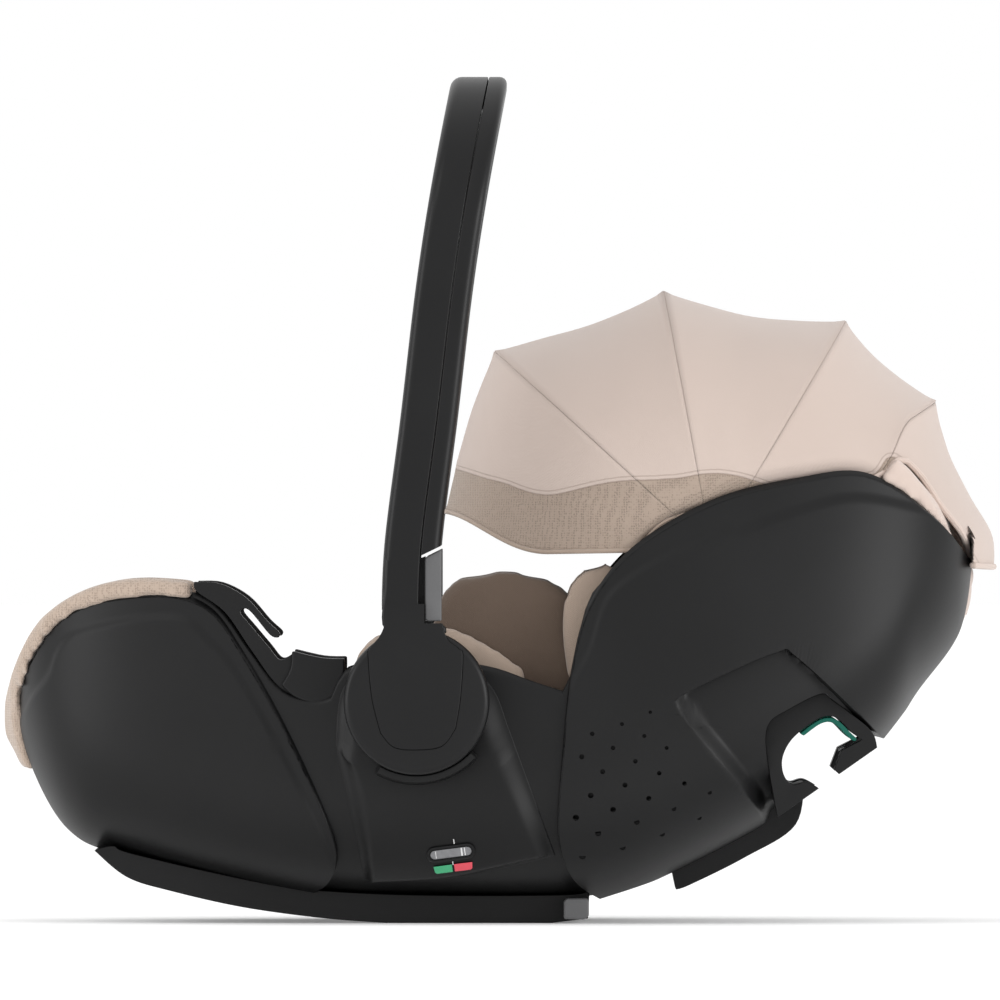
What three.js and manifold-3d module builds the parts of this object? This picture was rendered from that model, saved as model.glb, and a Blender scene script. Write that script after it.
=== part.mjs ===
// Infant car seat with a carry handle, a folding canopy and a belt-guide shell.
// Millimetres, +Z up, +X towards the head end, -Y is the child's left side.
// The origin is on the floor, under the middle of the seat's bounding box.
import * as THREE from "three";
import { mergeVertices } from "three/addons/utils/BufferGeometryUtils.js";
import Module from "manifold-3d";

const wasm = await Module();
wasm.setup();

// ---------- driving dimensions ----------
const GAP = 0.4; // clearance between pieces that touch
const FOOT_END = -330; // plastic hull, foot end
const HEAD_END = 320; // plastic hull, head end
const FOOT_HALF_WIDTH = 158; // half width of the hull by the child's feet
const HEAD_HALF_WIDTH = 188; // half width of the hull by the child's head
const PLAN_POWER = 3.8; // how square the hull is, seen from above
const SECTION_POWER = 3.2; // how square the hull's belly is, seen from an end
const CORNER_HEIGHT = 105; // height over which the hull rounds into its belly
const COVER_WALL = 3; // side covers
const SHELL_WALL = 3; // visible outer shell
const BUCKET_WALL = 4; // inner bucket that carries the child
const FOAM_WALL = 10; // impact foam
const PAD_WALL = 11; // sewn cover with its wadding
const FABRIC = 2; // canopy cloth
const COVER_SPLIT = 60; // half of the open strip between a left and a right cover
const PIVOT = { x: -57, z: 150 }; // handle axis
const HUB_RADIUS = 49;
const HUB_INNER = 190; // y of the hub's inner face
const HANDLE_OUTER = 220; // y of the arm's outer face
const HANDLE_THICK = 22;
const HANDLE_TOP = 571; // top of the grip above the floor
const HANDLE_CORNER = 105; // corner radius of the handle's bend
const ARM_FRONT = -19.5; // front edge of the arm, from its centreline
const ARM_SEAM = 5; // seam between the front and the rear handle shell
const ARM_REAR = 18.5; // rear edge of the arm
const AXLE_RADIUS = 8;
const AXLE_PLAY = 0.35;
const BUTTON_TRAVEL = 4;
const BUTTON_LENGTH = 49;
const CANOPY_PIVOT = { x: 141.5, z: 252.5 };
const BOW_ROD = 2.2; // bow rod radius
const BOW_CLEARANCE = 1.6; // from a bow rod to the cloth over it
const BOW_PITCH = 6; // step from one bow's leg to the next along the pivot pin
const BOW_OUTER = HEAD_HALF_WIDTH - 28; // y of the outermost bow leg
const BOW_PIN_RADIUS = 3;
const BACKREST_SLOPE = 0.54;
const SEAT_LOW = { x: -20, z: 62 }; // lowest point of the seat surface
const STRAP_WIDTH = 38;
const STRAP_THICK = 1.6;
const SIMPLIFY = 0.02; // flat neighbours closer than this are merged

// Depths of the layers below the hull's outer surface.
const DEPTH = {};
DEPTH.shell = COVER_WALL + GAP;
DEPTH.bucket = DEPTH.shell + SHELL_WALL + GAP;
DEPTH.foam = DEPTH.bucket + BUCKET_WALL + GAP;
DEPTH.pad = DEPTH.foam + FOAM_WALL + GAP;
DEPTH.cavity = DEPTH.pad + PAD_WALL;

// ---------- solids ----------
function solidOf(geometry) {
  const bare = geometry.index ? geometry.toNonIndexed() : geometry.clone();
  bare.deleteAttribute("normal");
  bare.deleteAttribute("uv");
  const merged = mergeVertices(bare, 1e-4);
  return new wasm.Manifold(
    new wasm.Mesh({
      numProp: 3,
      vertProperties: merged.attributes.position.array,
      triVerts: new Uint32Array(merged.index.array),
    }),
  );
}

function geometryOf(solid) {
  const mesh = solid.simplify(SIMPLIFY).getMesh();
  const positions = new Float32Array(mesh.numVert * 3);
  for (let i = 0; i < mesh.numVert; i++) {
    for (let k = 0; k < 3; k++) positions[3 * i + k] = mesh.vertProperties[mesh.numProp * i + k];
  }
  const geometry = new THREE.BufferGeometry();
  geometry.setAttribute("position", new THREE.BufferAttribute(positions, 3));
  geometry.setIndex(new THREE.BufferAttribute(new Uint32Array(mesh.triVerts), 1));
  return geometry;
}

const largest = (solid) =>
  solid.decompose().reduce((best, piece) => (piece.volume() > best.volume() ? piece : best));

function placed(geometry, x, y, z, turnX = 0, turnY = 0) {
  const euler = new THREE.Euler(turnX, turnY, 0);
  const matrix = new THREE.Matrix4().makeRotationFromEuler(euler).setPosition(x, y, z);
  return solidOf(geometry.clone().applyMatrix4(matrix));
}

const box = (x0, x1, y0, y1, z0, z1) =>
  placed(
    new THREE.BoxGeometry(x1 - x0, y1 - y0, z1 - z0),
    (x0 + x1) / 2,
    (y0 + y1) / 2,
    (z0 + z1) / 2,
  );

// A cylinder along Y.
const cylinderY = (x, z, radius, y0, y1, sides = 24, radiusEnd = radius) =>
  placed(
    new THREE.CylinderGeometry(radiusEnd, radius, y1 - y0, sides),
    x,
    (y0 + y1) / 2,
    z,
  );

// Joins stretches of [x, z] points into one closed shape. A stretch of two points is a
// straight edge, a longer one is a smooth curve through its points.
function outline(stretches, stepsPerSpan = 2) {
  const points = [];
  for (const stretch of stretches) {
    const knots = stretch.map(([x, z]) => new THREE.Vector2(x, z));
    const smooth = () => new THREE.SplineCurve(knots).getPoints((knots.length - 1) * stepsPerSpan);
    const curve = knots.length > 2 ? smooth() : knots;
    for (const point of curve) {
      if (!points.length || point.distanceTo(points[points.length - 1]) > 0.3) points.push(point);
    }
  }
  if (points[0].distanceTo(points[points.length - 1]) < 0.3) points.pop();
  return new THREE.Shape(points);
}

// A side-view shape in x and z, extruded across the seat from y0 to y1.
function prism(shape, y0, y1) {
  const geometry = new THREE.ExtrudeGeometry(shape, { depth: y1 - y0, bevelEnabled: false });
  geometry.rotateX(Math.PI / 2);
  geometry.translate(0, y1, 0);
  return solidOf(geometry);
}

const mirrored = (solid) => solid.mirror([0, 1, 0]);

// A closed solid between two grids of points of the same size.
function sheet(outer, inner) {
  const rows = outer.length;
  const columns = outer[0].length;
  const positions = [...outer.flat(), ...inner.flat()].flat();
  const at = (layer, i, j) => layer * rows * columns + i * columns + j;
  const index = [];
  const quad = (a, b, c, d) => index.push(a, b, c, a, c, d);
  for (let i = 0; i + 1 < rows; i++) {
    for (let j = 0; j + 1 < columns; j++) {
      quad(at(0, i, j), at(0, i, j + 1), at(0, i + 1, j + 1), at(0, i + 1, j));
      quad(at(1, i, j), at(1, i + 1, j), at(1, i + 1, j + 1), at(1, i, j + 1));
    }
  }
  for (let i = 0; i + 1 < rows; i++) {
    quad(at(0, i, 0), at(0, i + 1, 0), at(1, i + 1, 0), at(1, i, 0));
    quad(at(0, i + 1, columns - 1), at(0, i, columns - 1), at(1, i, columns - 1), at(1, i + 1, columns - 1));
  }
  for (let j = 0; j + 1 < columns; j++) {
    quad(at(0, 0, j + 1), at(0, 0, j), at(1, 0, j), at(1, 0, j + 1));
    quad(at(0, rows - 1, j), at(0, rows - 1, j + 1), at(1, rows - 1, j + 1), at(1, rows - 1, j));
  }
  const geometry = new THREE.BufferGeometry();
  geometry.setAttribute("position", new THREE.Float32BufferAttribute(positions, 3));
  geometry.setIndex(index);
  const solid = solidOf(geometry);
  if (solid.volume() > 0) return solid;
  for (let i = 0; i < index.length; i += 3) [index[i + 1], index[i + 2]] = [index[i + 2], index[i + 1]];
  geometry.setIndex(index);
  return solidOf(geometry);
}

// A closed solid through rings of points, with flat fans at both ends. A symmetric one
// has the same facets on its left and right sides.
function loft(rings, symmetric = false) {
  const count = rings[0].length;
  const positions = rings.flat().flat();
  const centre = (ring) => [0, 1, 2].map((k) => ring.reduce((sum, p) => sum + p[k], 0) / count);
  positions.push(...centre(rings[0]), ...centre(rings[rings.length - 1]));
  const first = rings.length * count;
  const index = [];
  for (let i = 0; i + 1 < rings.length; i++) {
    for (let j = 0; j < count; j++) {
      const next = (j + 1) % count;
      const [a, b, c, d] = [i * count + j, i * count + next, (i + 1) * count + next, (i + 1) * count + j];
      if (symmetric && 2 * j < count - 1) index.push(a, b, d, b, c, d);
      else index.push(a, b, c, a, c, d);
    }
  }
  const last = (rings.length - 1) * count;
  for (let j = 0; j < count; j++) {
    const next = (j + 1) % count;
    index.push(first, next, j, first + 1, last + j, last + next);
  }
  const geometry = new THREE.BufferGeometry();
  geometry.setAttribute("position", new THREE.Float32BufferAttribute(positions, 3));
  geometry.setIndex(index);
  const solid = solidOf(geometry);
  if (solid.volume() > 0) return solid;
  for (let i = 0; i < index.length; i += 3) [index[i + 1], index[i + 2]] = [index[i + 2], index[i + 1]];
  geometry.setIndex(index);
  return solidOf(geometry);
}

// ---------- the hull ----------
const HULL_TOP = 330;
const BELLY = new THREE.SplineCurve(
  [
    [FOOT_END, 132],
    [-320, 104],
    [-292, 60],
    [-250, 43],
    [-133, 17],
    [-60, 13],
    [40, 13],
    [72, 17],
    [113, 33],
    [185, 71],
    [253, 119],
    [282, 157],
    [310, 194],
    [HEAD_END, 236],
  ].map(([x, z]) => new THREE.Vector2(x, z)),
);
const BELLY_POINTS = BELLY.getPoints(260);

function bellyHeight(x) {
  if (x <= BELLY_POINTS[0].x) return BELLY_POINTS[0].y;
  const next = BELLY_POINTS.findIndex((p) => p.x >= x);
  if (next < 1) return BELLY_POINTS[BELLY_POINTS.length - 1].y;
  const [a, b] = [BELLY_POINTS[next - 1], BELLY_POINTS[next]];
  return a.y + ((b.y - a.y) * (x - a.x)) / Math.max(b.x - a.x, 1e-6);
}

function planHalfWidth(x) {
  const middle = (FOOT_END + HEAD_END) / 2;
  const half = (HEAD_END - FOOT_END) / 2;
  const along = Math.min(1, Math.abs((x - middle) / half));
  const blend = THREE.MathUtils.smoothstep(x, FOOT_END, HEAD_END * 0.5);
  const widest = FOOT_HALF_WIDTH + (HEAD_HALF_WIDTH - FOOT_HALF_WIDTH) * blend;
  return widest * Math.pow(Math.max(0, 1 - Math.pow(along, PLAN_POWER)), 1 / PLAN_POWER);
}

const leanIn = (z) => 1 - 0.1 * Math.pow(Math.max(0, (z - 130) / 170), 2);

// The hull's outer form, moved inwards by depth and open to the sky above HULL_TOP.
function hull(depth, stations = 16, cornerSteps = 4, wallSteps = 3) {
  const middle = (FOOT_END + HEAD_END) / 2;
  const half = (HEAD_END - FOOT_END) / 2;
  const rings = [];
  for (let i = 0; i <= stations; i++) {
    const angle = -Math.PI / 2 + (Math.PI * i) / stations;
    const x = middle + half * Math.sin(angle);
    const width = planHalfWidth(x);
    let normal = new THREE.Vector2(Math.sign(angle), 0);
    if (i > 0 && i < stations) {
      const step = 0.5;
      const slope = (planHalfWidth(x + step) - planHalfWidth(x - step)) / (2 * step);
      normal = new THREE.Vector2(-slope, 1).normalize();
    }
    const stationX = x - depth * normal.x;
    const halfWidth = Math.max(0.5, width - depth * normal.y);
    const steep = (bellyHeight(stationX + 1) - bellyHeight(stationX - 1)) / 2;
    const bottom = bellyHeight(stationX) + depth * Math.min(2.2, Math.hypot(1, steep));
    const right = [];
    for (let j = 0; j <= cornerSteps; j++) {
      const t = ((Math.PI / 2) * j) / cornerSteps;
      right.push([
        halfWidth * Math.pow(Math.sin(t), 2 / SECTION_POWER),
        bottom + CORNER_HEIGHT * (1 - Math.pow(Math.cos(t), 2 / SECTION_POWER)),
      ]);
    }
    const top = HULL_TOP + Math.max(0, depth);
    for (let j = 1; j <= wallSteps; j++) {
      const from = bottom + CORNER_HEIGHT;
      right.push([halfWidth, from + ((top - from) * j) / wallSteps]);
    }
    const lean = right.map(([y, z]) => [y * leanIn(z), z]);
    const left = lean.slice(1).map(([y, z]) => [-y, z]).reverse();
    rings.push([...left, ...lean].map(([y, z]) => [stationX, y, z]));
  }
  return loft(rings, true);
}

// Everything above the seat surface, lowered by drop.
function seatHeight(x) {
  const blendEnd = 40;
  if (x < SEAT_LOW.x) return SEAT_LOW.z + 0.00125 * Math.pow(x - SEAT_LOW.x, 2);
  const curve = BACKREST_SLOPE / (2 * (blendEnd - SEAT_LOW.x));
  if (x < blendEnd) return SEAT_LOW.z + curve * Math.pow(x - SEAT_LOW.x, 2);
  return SEAT_LOW.z + curve * Math.pow(blendEnd - SEAT_LOW.x, 2) + BACKREST_SLOPE * (x - blendEnd);
}

const bowl = (y) => 34 * Math.pow(Math.abs(y) / 150, 3);

function aboveSeat(drop, x0 = FOOT_END - 20, x1 = HEAD_END + 20) {
  const across = [-1, -0.8, -0.6, -0.4, -0.2, 0, 0.2, 0.4, 0.6, 0.8, 1].map((s) => s * 205);
  const stations = [x0, -290, -240, -190, -140, -100, -60, -30, 0, 20, 40, x1];
  const kept = stations.filter((x, i) => i === 0 || i === stations.length - 1 || (x > x0 && x < x1));
  const low = kept.map((x) => across.map((y) => [x, y, seatHeight(x) + bowl(y) - drop]));
  const high = kept.map((x) => across.map((y) => [x, y, 600]));
  return sheet(high, low);
}

// ---------- side-view outlines ----------
const HOOK_LOWER = [
  [-205, 224],
  [-186, 210],
  [-168, 184],
  [-149, 159],
  [-127, 149],
  [-113, 154],
  [-107, 168],
];
const OUTLINES = {
  frontCover: outline([
    [
      [-292, 59.5],
      [-320, 104],
      [-329.5, 131],
      [-319, 174],
      [-290, 209],
      [-236, 220.5],
      [-199, 212],
      [-174, 180],
      [-142, 123],
      [-113, 56],
      [-115, 30],
      [-133, 17.5],
    ],
    [
      [-133, 17.5],
      [-207, 32.5],
      [-275, 51],
      [-292, 59.5],
    ],
  ]),
  rearCover: outline([
    [
      [66, 17],
      [48, 31],
      [38, 60],
      [41, 115],
      [47, 170],
      [60, 215],
      [90, 252],
      [144, 283],
      [200, 297],
      [246, 301],
      [288, 277],
      [312, 250],
      [319, 224],
      [308, 190],
      [282, 157],
      [253, 119],
    ],
    [
      [253, 119],
      [186, 72],
    ],
    [
      [186, 72],
      [150, 51],
      [113, 33],
      [66, 17],
    ],
  ]),
};

// The rim that the shell, bucket, foam and pads share, lowered by drop. It dips behind the
// rear covers, where the canopy's bows turn.
// The padded side roll of the seat cover stands above the plastic rim.
const PAD_CREST = [
  [-105, 165],
  [-97, 184],
  [-88, 195],
  [-64, 203],
  [-40, 204],
  [-19, 198],
  [-2, 188],
  [15, 176],
  [43.6, 160],
];
const HARD_CREST = [
  [-105, 165],
  [-57, 172],
  [-10, 167],
  [20, 157],
  [43.6, 149.5],
];
function rimShape(drop, crest = HARD_CREST) {
  const stretches = [
    [
      [-345, 0],
      [-345, 136],
    ],
    [
      [-330, 136],
      [-317, 172],
      [-288, 206],
      [-236, 216],
      [-205, 216],
    ],
    ...[
      [
        [-205, 216],
        [-188, 204],
        [-170, 178],
        [-151, 153],
        [-128, 144],
        [-112, 149],
        [-105, 165],
      ],
    ],
    crest,
    [
      [44, 150],
      [52, 190],
      [66, 222],
      [112, 238],
    ],
    [
      [112, 238],
      [232, 238],
    ],
    [
      [232, 238],
      [250, 282],
    ],
    [
      [250, 282],
      [262, 285],
      [288, 266],
      [306, 248],
      [345, 236],
    ],
    [
      [345, 236],
      [345, 0],
    ],
  ];
  return outline(stretches.map((s) => s.map(([x, z]) => [x, z > 0 ? z - drop : z - 40])));
}

// ---------- hull layers ----------
const layer = (outerDepth, innerDepth) => hull(outerDepth).subtract(hull(innerDepth));
const across = (shape, limit = 240) => prism(shape, -limit, limit);

// Rear belt guide: a C-shaped channel open towards the floor and the rear.
const GUIDE_OPENING = outline([
  [
    [219, 88],
    [206, 95.5],
    [196, 94],
    [190, 101],
    [189.5, 113],
    [197, 126],
    [214, 138.5],
    [225, 139],
    [236, 129],
    [243, 124],
  ],
  [
    [243, 124],
    [229, 117],
    [224, 104],
  ],
  [
    [224, 104],
    [250, 80],
  ],
  [
    [250, 80],
    [219, 88],
  ],
]);
// The lower jaw sits right of this opening's lower lip; the channel runs right across the seat.
const guideChannel = across(GUIDE_OPENING);

const POCKET = outline([
  [
    [118, 149],
    [122, 156],
    [183, 184],
    [200, 180],
    [252, 131],
    [253, 119],
  ],
  [
    [253, 119],
    [186, 72],
  ],
  [
    [186, 72],
    [165, 88],
    [124, 138],
    [118, 149],
  ],
]);
const GUIDE_TRIM = outline([
  [
    [186, 72],
    [178.5, 115],
    [180, 135],
    [194, 145],
    [215, 155],
    [224, 150],
    [248, 131],
    [253, 119],
  ],
  [
    [253, 119],
    [186, 72],
  ],
]);

function ventHoles() {
  const holes = [];
  const rows = [
    [-1, 0, 1, 2, 3],
    [0, 1, 2, 3, 4, 5],
    [0, 1, 2, 3, 4, 5],
    [0, 1, 2, 3],
    [0, 1, 2],
  ];
  rows.forEach((row, r) =>
    row.forEach((c) => {
      const x = 60 + 14.6 * c - 6.6 * r + (r > 2 ? 5 : 0);
      const z = 118 - 8.6 * c - 14.2 * r;
      if (x < 47 || z < 36) return;
      const radius = 1 + 0.013 * (130 - z) + 0.15 * r;
      holes.push(cylinderY(x, z, radius, 60, 240, 6));
    }),
  );
  return holes.reduce((sum, hole) => sum.add(hole));
}

const sideOnly = (solid) => solid.intersect(box(-400, 400, COVER_SPLIT, 260, -10, 400));

function rearCover() {
  let cover = layer(0, COVER_WALL).intersect(across(OUTLINES.rearCover));
  cover = sideOnly(cover);
  const open = prism(POCKET, 60, 240);
  cover = cover.subtract(open);
  // The pocket's floor steps inwards around the belt guide.
  const pocketDepth = 7;
  const floor = layer(pocketDepth, pocketDepth + COVER_WALL)
    .intersect(prism(POCKET, 60, 240))
    .subtract(prism(gathered(GUIDE_TRIM, -GAP), 60, 240));
  const wall = layer(0, pocketDepth + COVER_WALL).intersect(
    prism(POCKET, 60, 240).subtract(prism(gathered(POCKET, COVER_WALL + 1), 50, 250)),
  );
  const trim = prism(gathered(GUIDE_TRIM, -GAP), 60, 240);
  const joined = cover.add(sideOnly(floor)).add(sideOnly(wall)).subtract(trim);
  return largest(joined.subtract(ventHoles()));
}

// A copy of a shape with every point moved inwards by margin (negative moves it outwards).
function shrunk(shape, margin) {
  const points = shape.getPoints();
  const area = THREE.ShapeUtils.area(points);
  const side = Math.sign(area);
  const moved = points.map((p, i) => {
    const before = points[(i + points.length - 1) % points.length];
    const after = points[(i + 1) % points.length];
    const along = after.clone().sub(before).normalize();
    return new THREE.Vector2(p.x - side * along.y * margin, p.y + side * along.x * margin);
  });
  return new THREE.Shape(moved);
}

// A copy of a shape with every point moved straight towards the shape's middle by margin.
function gathered(shape, margin) {
  const points = shape.getPoints();
  const middle = points.reduce((sum, p) => sum.add(p), new THREE.Vector2()).divideScalar(points.length);
  return new THREE.Shape(
    points.map((p) => {
      const out = p.clone().sub(middle);
      return middle.clone().add(out.setLength(out.length() - margin));
    }),
  );
}

const GUIDE = { inner: 100, outer: 150 }; // y of the belt guide's two faces
function beltGuide() {
  const block = prism(gathered(GUIDE_TRIM, GAP), GUIDE.inner, GUIDE.outer - 4);
  const face = prism(gathered(GUIDE_TRIM, GAP + 2.5), GUIDE.inner, GUIDE.outer);
  return largest(block.add(face).subtract(guideChannel));
}

function guideLiner() {
  // A thin coloured lining in the upper jaw, where the belt runs.
  const lining = outline([
    [
      [201, 128.4],
      [214, 137.6],
      [225, 138.1],
      [235, 128.9],
      [239, 124.8],
    ],
    [
      [239, 124.8],
      [237, 123.4],
    ],
    [
      [237, 123.4],
      [232.5, 126.8],
      [223.5, 135.3],
      [215, 135],
      [203.5, 126.8],
    ],
    [
      [203.5, 126.8],
      [201, 128.4],
    ],
  ]);
  return prism(lining, GUIDE.inner + 4, GUIDE.outer - 1);
}

const frontCover = () => sideOnly(layer(0, COVER_WALL).intersect(across(OUTLINES.frontCover)));

function outerShell() {
  const shell = layer(DEPTH.shell, DEPTH.shell + SHELL_WALL).intersect(across(rimShape(0)));
  const pockets = prism(gathered(POCKET, -3), 60, 240);
  const guides = prism(gathered(GUIDE_TRIM, -2), GUIDE.inner - 2, 200);
  const cut = shell.subtract(pockets).subtract(mirrored(pockets)).subtract(guides).subtract(mirrored(guides));
  return largest(cut.subtract(guideChannel));
}

const bucketDrop = DEPTH.cavity - DEPTH.bucket;
const nest = (depth, drop) => hull(depth).intersect(aboveSeat(drop));

function innerBucket() {
  const inner = nest(DEPTH.bucket + BUCKET_WALL, bucketDrop - BUCKET_WALL);
  const walls = nest(DEPTH.bucket, bucketDrop).subtract(inner);
  const pocket = prism(gathered(POCKET, -3), 105, 240);
  return largest(walls.intersect(across(rimShape(1))).subtract(pocket).subtract(mirrored(pocket)));
}

function foamLiner() {
  const outer = DEPTH.cavity - DEPTH.foam;
  const walls = nest(DEPTH.foam, outer).subtract(nest(DEPTH.foam + FOAM_WALL, outer - FOAM_WALL));
  return largest(walls.intersect(across(rimShape(2))));
}

const PAD_JOIN = 43.2; // x where the seat pad meets the back pad
const padLayer = () => nest(DEPTH.pad, PAD_WALL).subtract(nest(DEPTH.cavity, 0));

const seatPad = () =>
  largest(
    padLayer()
      .intersect(across(rimShape(1, PAD_CREST)))
      .intersect(box(-400, PAD_JOIN - GAP, -240, 240, 0, 400))
      .subtract(box(20 - GAP, 60, -240, 240, 150.5, 400)),
  );

function backPad() {
  const wings = box(20, 44, -240, 240, 150.5 + GAP, 400);
  const region = box(PAD_JOIN, 400, -240, 240, 0, 400).add(wings);
  const wingShape = outline([
    [
      [20, 0],
      [20, 152],
    ],
    [
      [44, 152],
      [36, 186],
      [38, 215],
      [49, 239],
      [70, 246],
    ],
    [
      [70, 246],
      [112, 237],
    ],
    [
      [112, 237],
      [232, 237],
    ],
    [
      [232, 237],
      [252, 280],
      [262, 283],
      [288, 264],
      [306, 246],
      [345, 235],
    ],
    [
      [345, 235],
      [345, 0],
    ],
  ]);
  return largest(padLayer().intersect(region).intersect(across(wingShape)));
}

// Cloth of the seat cover, rolled over the rim at the foot end.
function frontRimRoll() {
  const cloth = outline([
    [
      [-322, 104],
      [-330, 112],
      [-334.6, 128],
      [-334.6, 149],
      [-324, 180],
      [-309, 205],
      [-288, 221],
      [-264, 229],
      [-239, 231],
      [-208.5, 228.5],
    ],
    [
      [-208.5, 228.5],
      [-208.5, 100],
    ],
    [
      [-208.5, 100],
      [-322, 104],
    ],
  ]);
  const body = hull(-5).subtract(hull(DEPTH.cavity - 2)).intersect(across(cloth));
  const rim = across(rimShape(-1));
  const overRim = body.subtract(rim);
  const apron = hull(-5)
    .subtract(hull(DEPTH.shell - GAP))
    .intersect(across(cloth))
    .intersect(box(-400, -250, -(COVER_SPLIT - 1), COVER_SPLIT - 1, 100, 400));
  const covers = prism(shrunk(OUTLINES.frontCover, -0.8), COVER_SPLIT - 1, 240);
  return largest(overRim.add(apron).subtract(covers).subtract(mirrored(covers)));
}

// Cloth of the seat cover over the rim at the head end, under the canopy's rear flap.
function headRimRoll() {
  const cloth = outline([
    [
      [240, 290],
      [256, 300],
      [266, 312],
      [280, 298],
      [297, 277],
      [317, 243],
      [322, 236],
      [321, 212],
      [310, 193],
    ],
    [
      [310, 193],
      [240, 193],
    ],
    [
      [240, 193],
      [240, 290],
    ],
  ]);
  const body = hull(-1.5).subtract(hull(DEPTH.cavity - 2)).intersect(across(cloth));
  const overRim = body.subtract(across(rimShape(-1)));
  const apron = hull(-1.5)
    .subtract(hull(DEPTH.shell - GAP))
    .intersect(across(cloth))
    .intersect(box(250, 400, -(COVER_SPLIT - 1), COVER_SPLIT - 1, 190, 400));
  const covers = prism(shrunk(OUTLINES.rearCover, -0.8), COVER_SPLIT - 1, 240);
  return largest(overRim.add(apron).subtract(covers).subtract(mirrored(covers)));
}

// ---------- base ----------
const BASE_HALF_WIDTH = 96;
const FLOOR_FLAT = { x0: -78, x1: 34 };
function rockerBase() {
  const side = outline([
    [
      [-275, 49],
      [-253, 31],
      [-223, 21.5],
      [-174, 10.5],
      [-120, 3.2],
      [FLOOR_FLAT.x0, 0],
    ],
    [
      [FLOOR_FLAT.x0, 0],
      [FLOOR_FLAT.x1, 0],
    ],
    [
      [FLOOR_FLAT.x1, 0],
      [58.5, 3],
    ],
    [
      [58.5, 3],
      [62, 60],
    ],
    [
      [62, 60],
      [-275, 80],
    ],
    [
      [-275, 80],
      [-275, 49],
    ],
  ]);
  const block = prism(side, -BASE_HALF_WIDTH, BASE_HALF_WIDTH);
  const wall = 3.2;
  const middle = (side.getPoints()[0].x + 62) / 2;
  const core = new THREE.Shape(
    side.getPoints().map((p) => new THREE.Vector2(middle + (p.x - middle) * 0.972, p.y + wall)),
  );
  const hollow = prism(core, -BASE_HALF_WIDTH + wall, BASE_HALF_WIDTH - wall);
  return largest(block.subtract(hollow).subtract(hull(-GAP)));
}

function heelFoot() {
  const side = outline([
    [
      [42, 16],
      [42, 2.6],
    ],
    [
      [42, 2.6],
      [59, 5],
    ],
    [
      [59, 5],
      [59, 17],
    ],
    [
      [59, 17],
      [42, 16],
    ],
  ]);
  return prism(side, BASE_HALF_WIDTH + GAP, BASE_HALF_WIDTH + 26).subtract(hull(-GAP));
}

// A raised strip low on the back, between the covers.
function backPanel() {
  const side = outline([
    [
      [118, 22],
      [128, 25.5],
      [165, 44],
      [199, 66],
    ],
    [
      [199, 66],
      [205, 100],
    ],
    [
      [205, 100],
      [110, 60],
    ],
    [
      [110, 60],
      [118, 22],
    ],
  ]);
  return largest(prism(side, -COVER_SPLIT + 2, COVER_SPLIT - 2).subtract(hull(DEPTH.shell - GAP)));
}

// ---------- handle mount on the shell ----------
function hubSeat(withLevel) {
  const panel = outline([
    [
      [-92, 26],
      [-112, 120],
    ],
    [
      [-112, 120],
      [-105, 160],
      [-57, 170],
      [-12, 162],
      [4, 130],
    ],
    [
      [4, 130],
      [32, 44],
    ],
    [
      [32, 44],
      [-20, 30],
      [-92, 26],
    ],
  ]);
  const raised = hull(-3).subtract(hull(DEPTH.shell - GAP)).intersect(prism(panel, 120, 240));
  const drum = cylinderY(PIVOT.x, PIVOT.z, HUB_RADIUS - 4, 150, HUB_INNER - GAP);
  const boss = drum.subtract(hull(DEPTH.shell - GAP));
  const lipOuter = cylinderY(PIVOT.x, PIVOT.z, HUB_RADIUS + 6.5, 150, HUB_INNER + 10, 32);
  const lipInner = cylinderY(PIVOT.x, PIVOT.z, HUB_RADIUS + 1.2, 100, 260, 32);
  const lipSector = prism(
    new THREE.Shape([
      new THREE.Vector2(PIVOT.x, PIVOT.z),
      new THREE.Vector2(PIVOT.x - 80, PIVOT.z - 112),
      new THREE.Vector2(PIVOT.x + 106, PIVOT.z - 90),
    ]),
    100,
    260,
  );
  const lip = lipOuter.subtract(lipInner).intersect(lipSector).subtract(hull(DEPTH.shell - GAP));
  const bore = cylinderY(PIVOT.x, PIVOT.z, AXLE_RADIUS + GAP, 100, 260, 20);
  const seat = raised.add(boss).add(lip).subtract(bore);
  if (!withLevel) return largest(seat);
  return largest(seat.subtract(levelWindow(LEVEL.length / 2 + GAP, LEVEL.height / 2 + GAP)));
}

const AXLE_END = 212;
const axle = () => cylinderY(PIVOT.x, PIVOT.z, AXLE_RADIUS, 173, AXLE_END, 20);

// ---------- level indicator ----------
const LEVEL = { x: -34, z: 48, tilt: 0.13, length: 33, height: 11, faceY: 152 };
function levelWindow(halfLength, halfHeight, dx = 0, dz = 0) {
  const radius = halfHeight;
  const run = halfLength - radius;
  const shape = new THREE.Shape();
  shape.absarc(run, 0, radius, -Math.PI / 2, Math.PI / 2, false);
  shape.absarc(-run, 0, radius, Math.PI / 2, (3 * Math.PI) / 2, false);
  const points = shape
    .getPoints(6)
    .map((p) => p.rotateAround(new THREE.Vector2(), LEVEL.tilt))
    .map((p) => p.add(new THREE.Vector2(LEVEL.x + dx, LEVEL.z + dz)));
  return prism(new THREE.Shape(points), 90, 250);
}

const onPanel = (from, to) => hull(from).subtract(hull(to));
const levelBezel = () =>
  largest(
    onPanel(-4.5, COVER_WALL)
      .intersect(levelWindow(LEVEL.length / 2, LEVEL.height / 2))
      .subtract(onPanel(-9, -2).intersect(levelWindow(LEVEL.length / 2 - 2.4, LEVEL.height / 2 - 2.4))),
  );
const levelMark = (dx) =>
  largest(onPanel(-4, -3 - GAP).intersect(levelWindow(6.5, 2.6, dx, dx * 0.13 - 10.5)));

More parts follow.
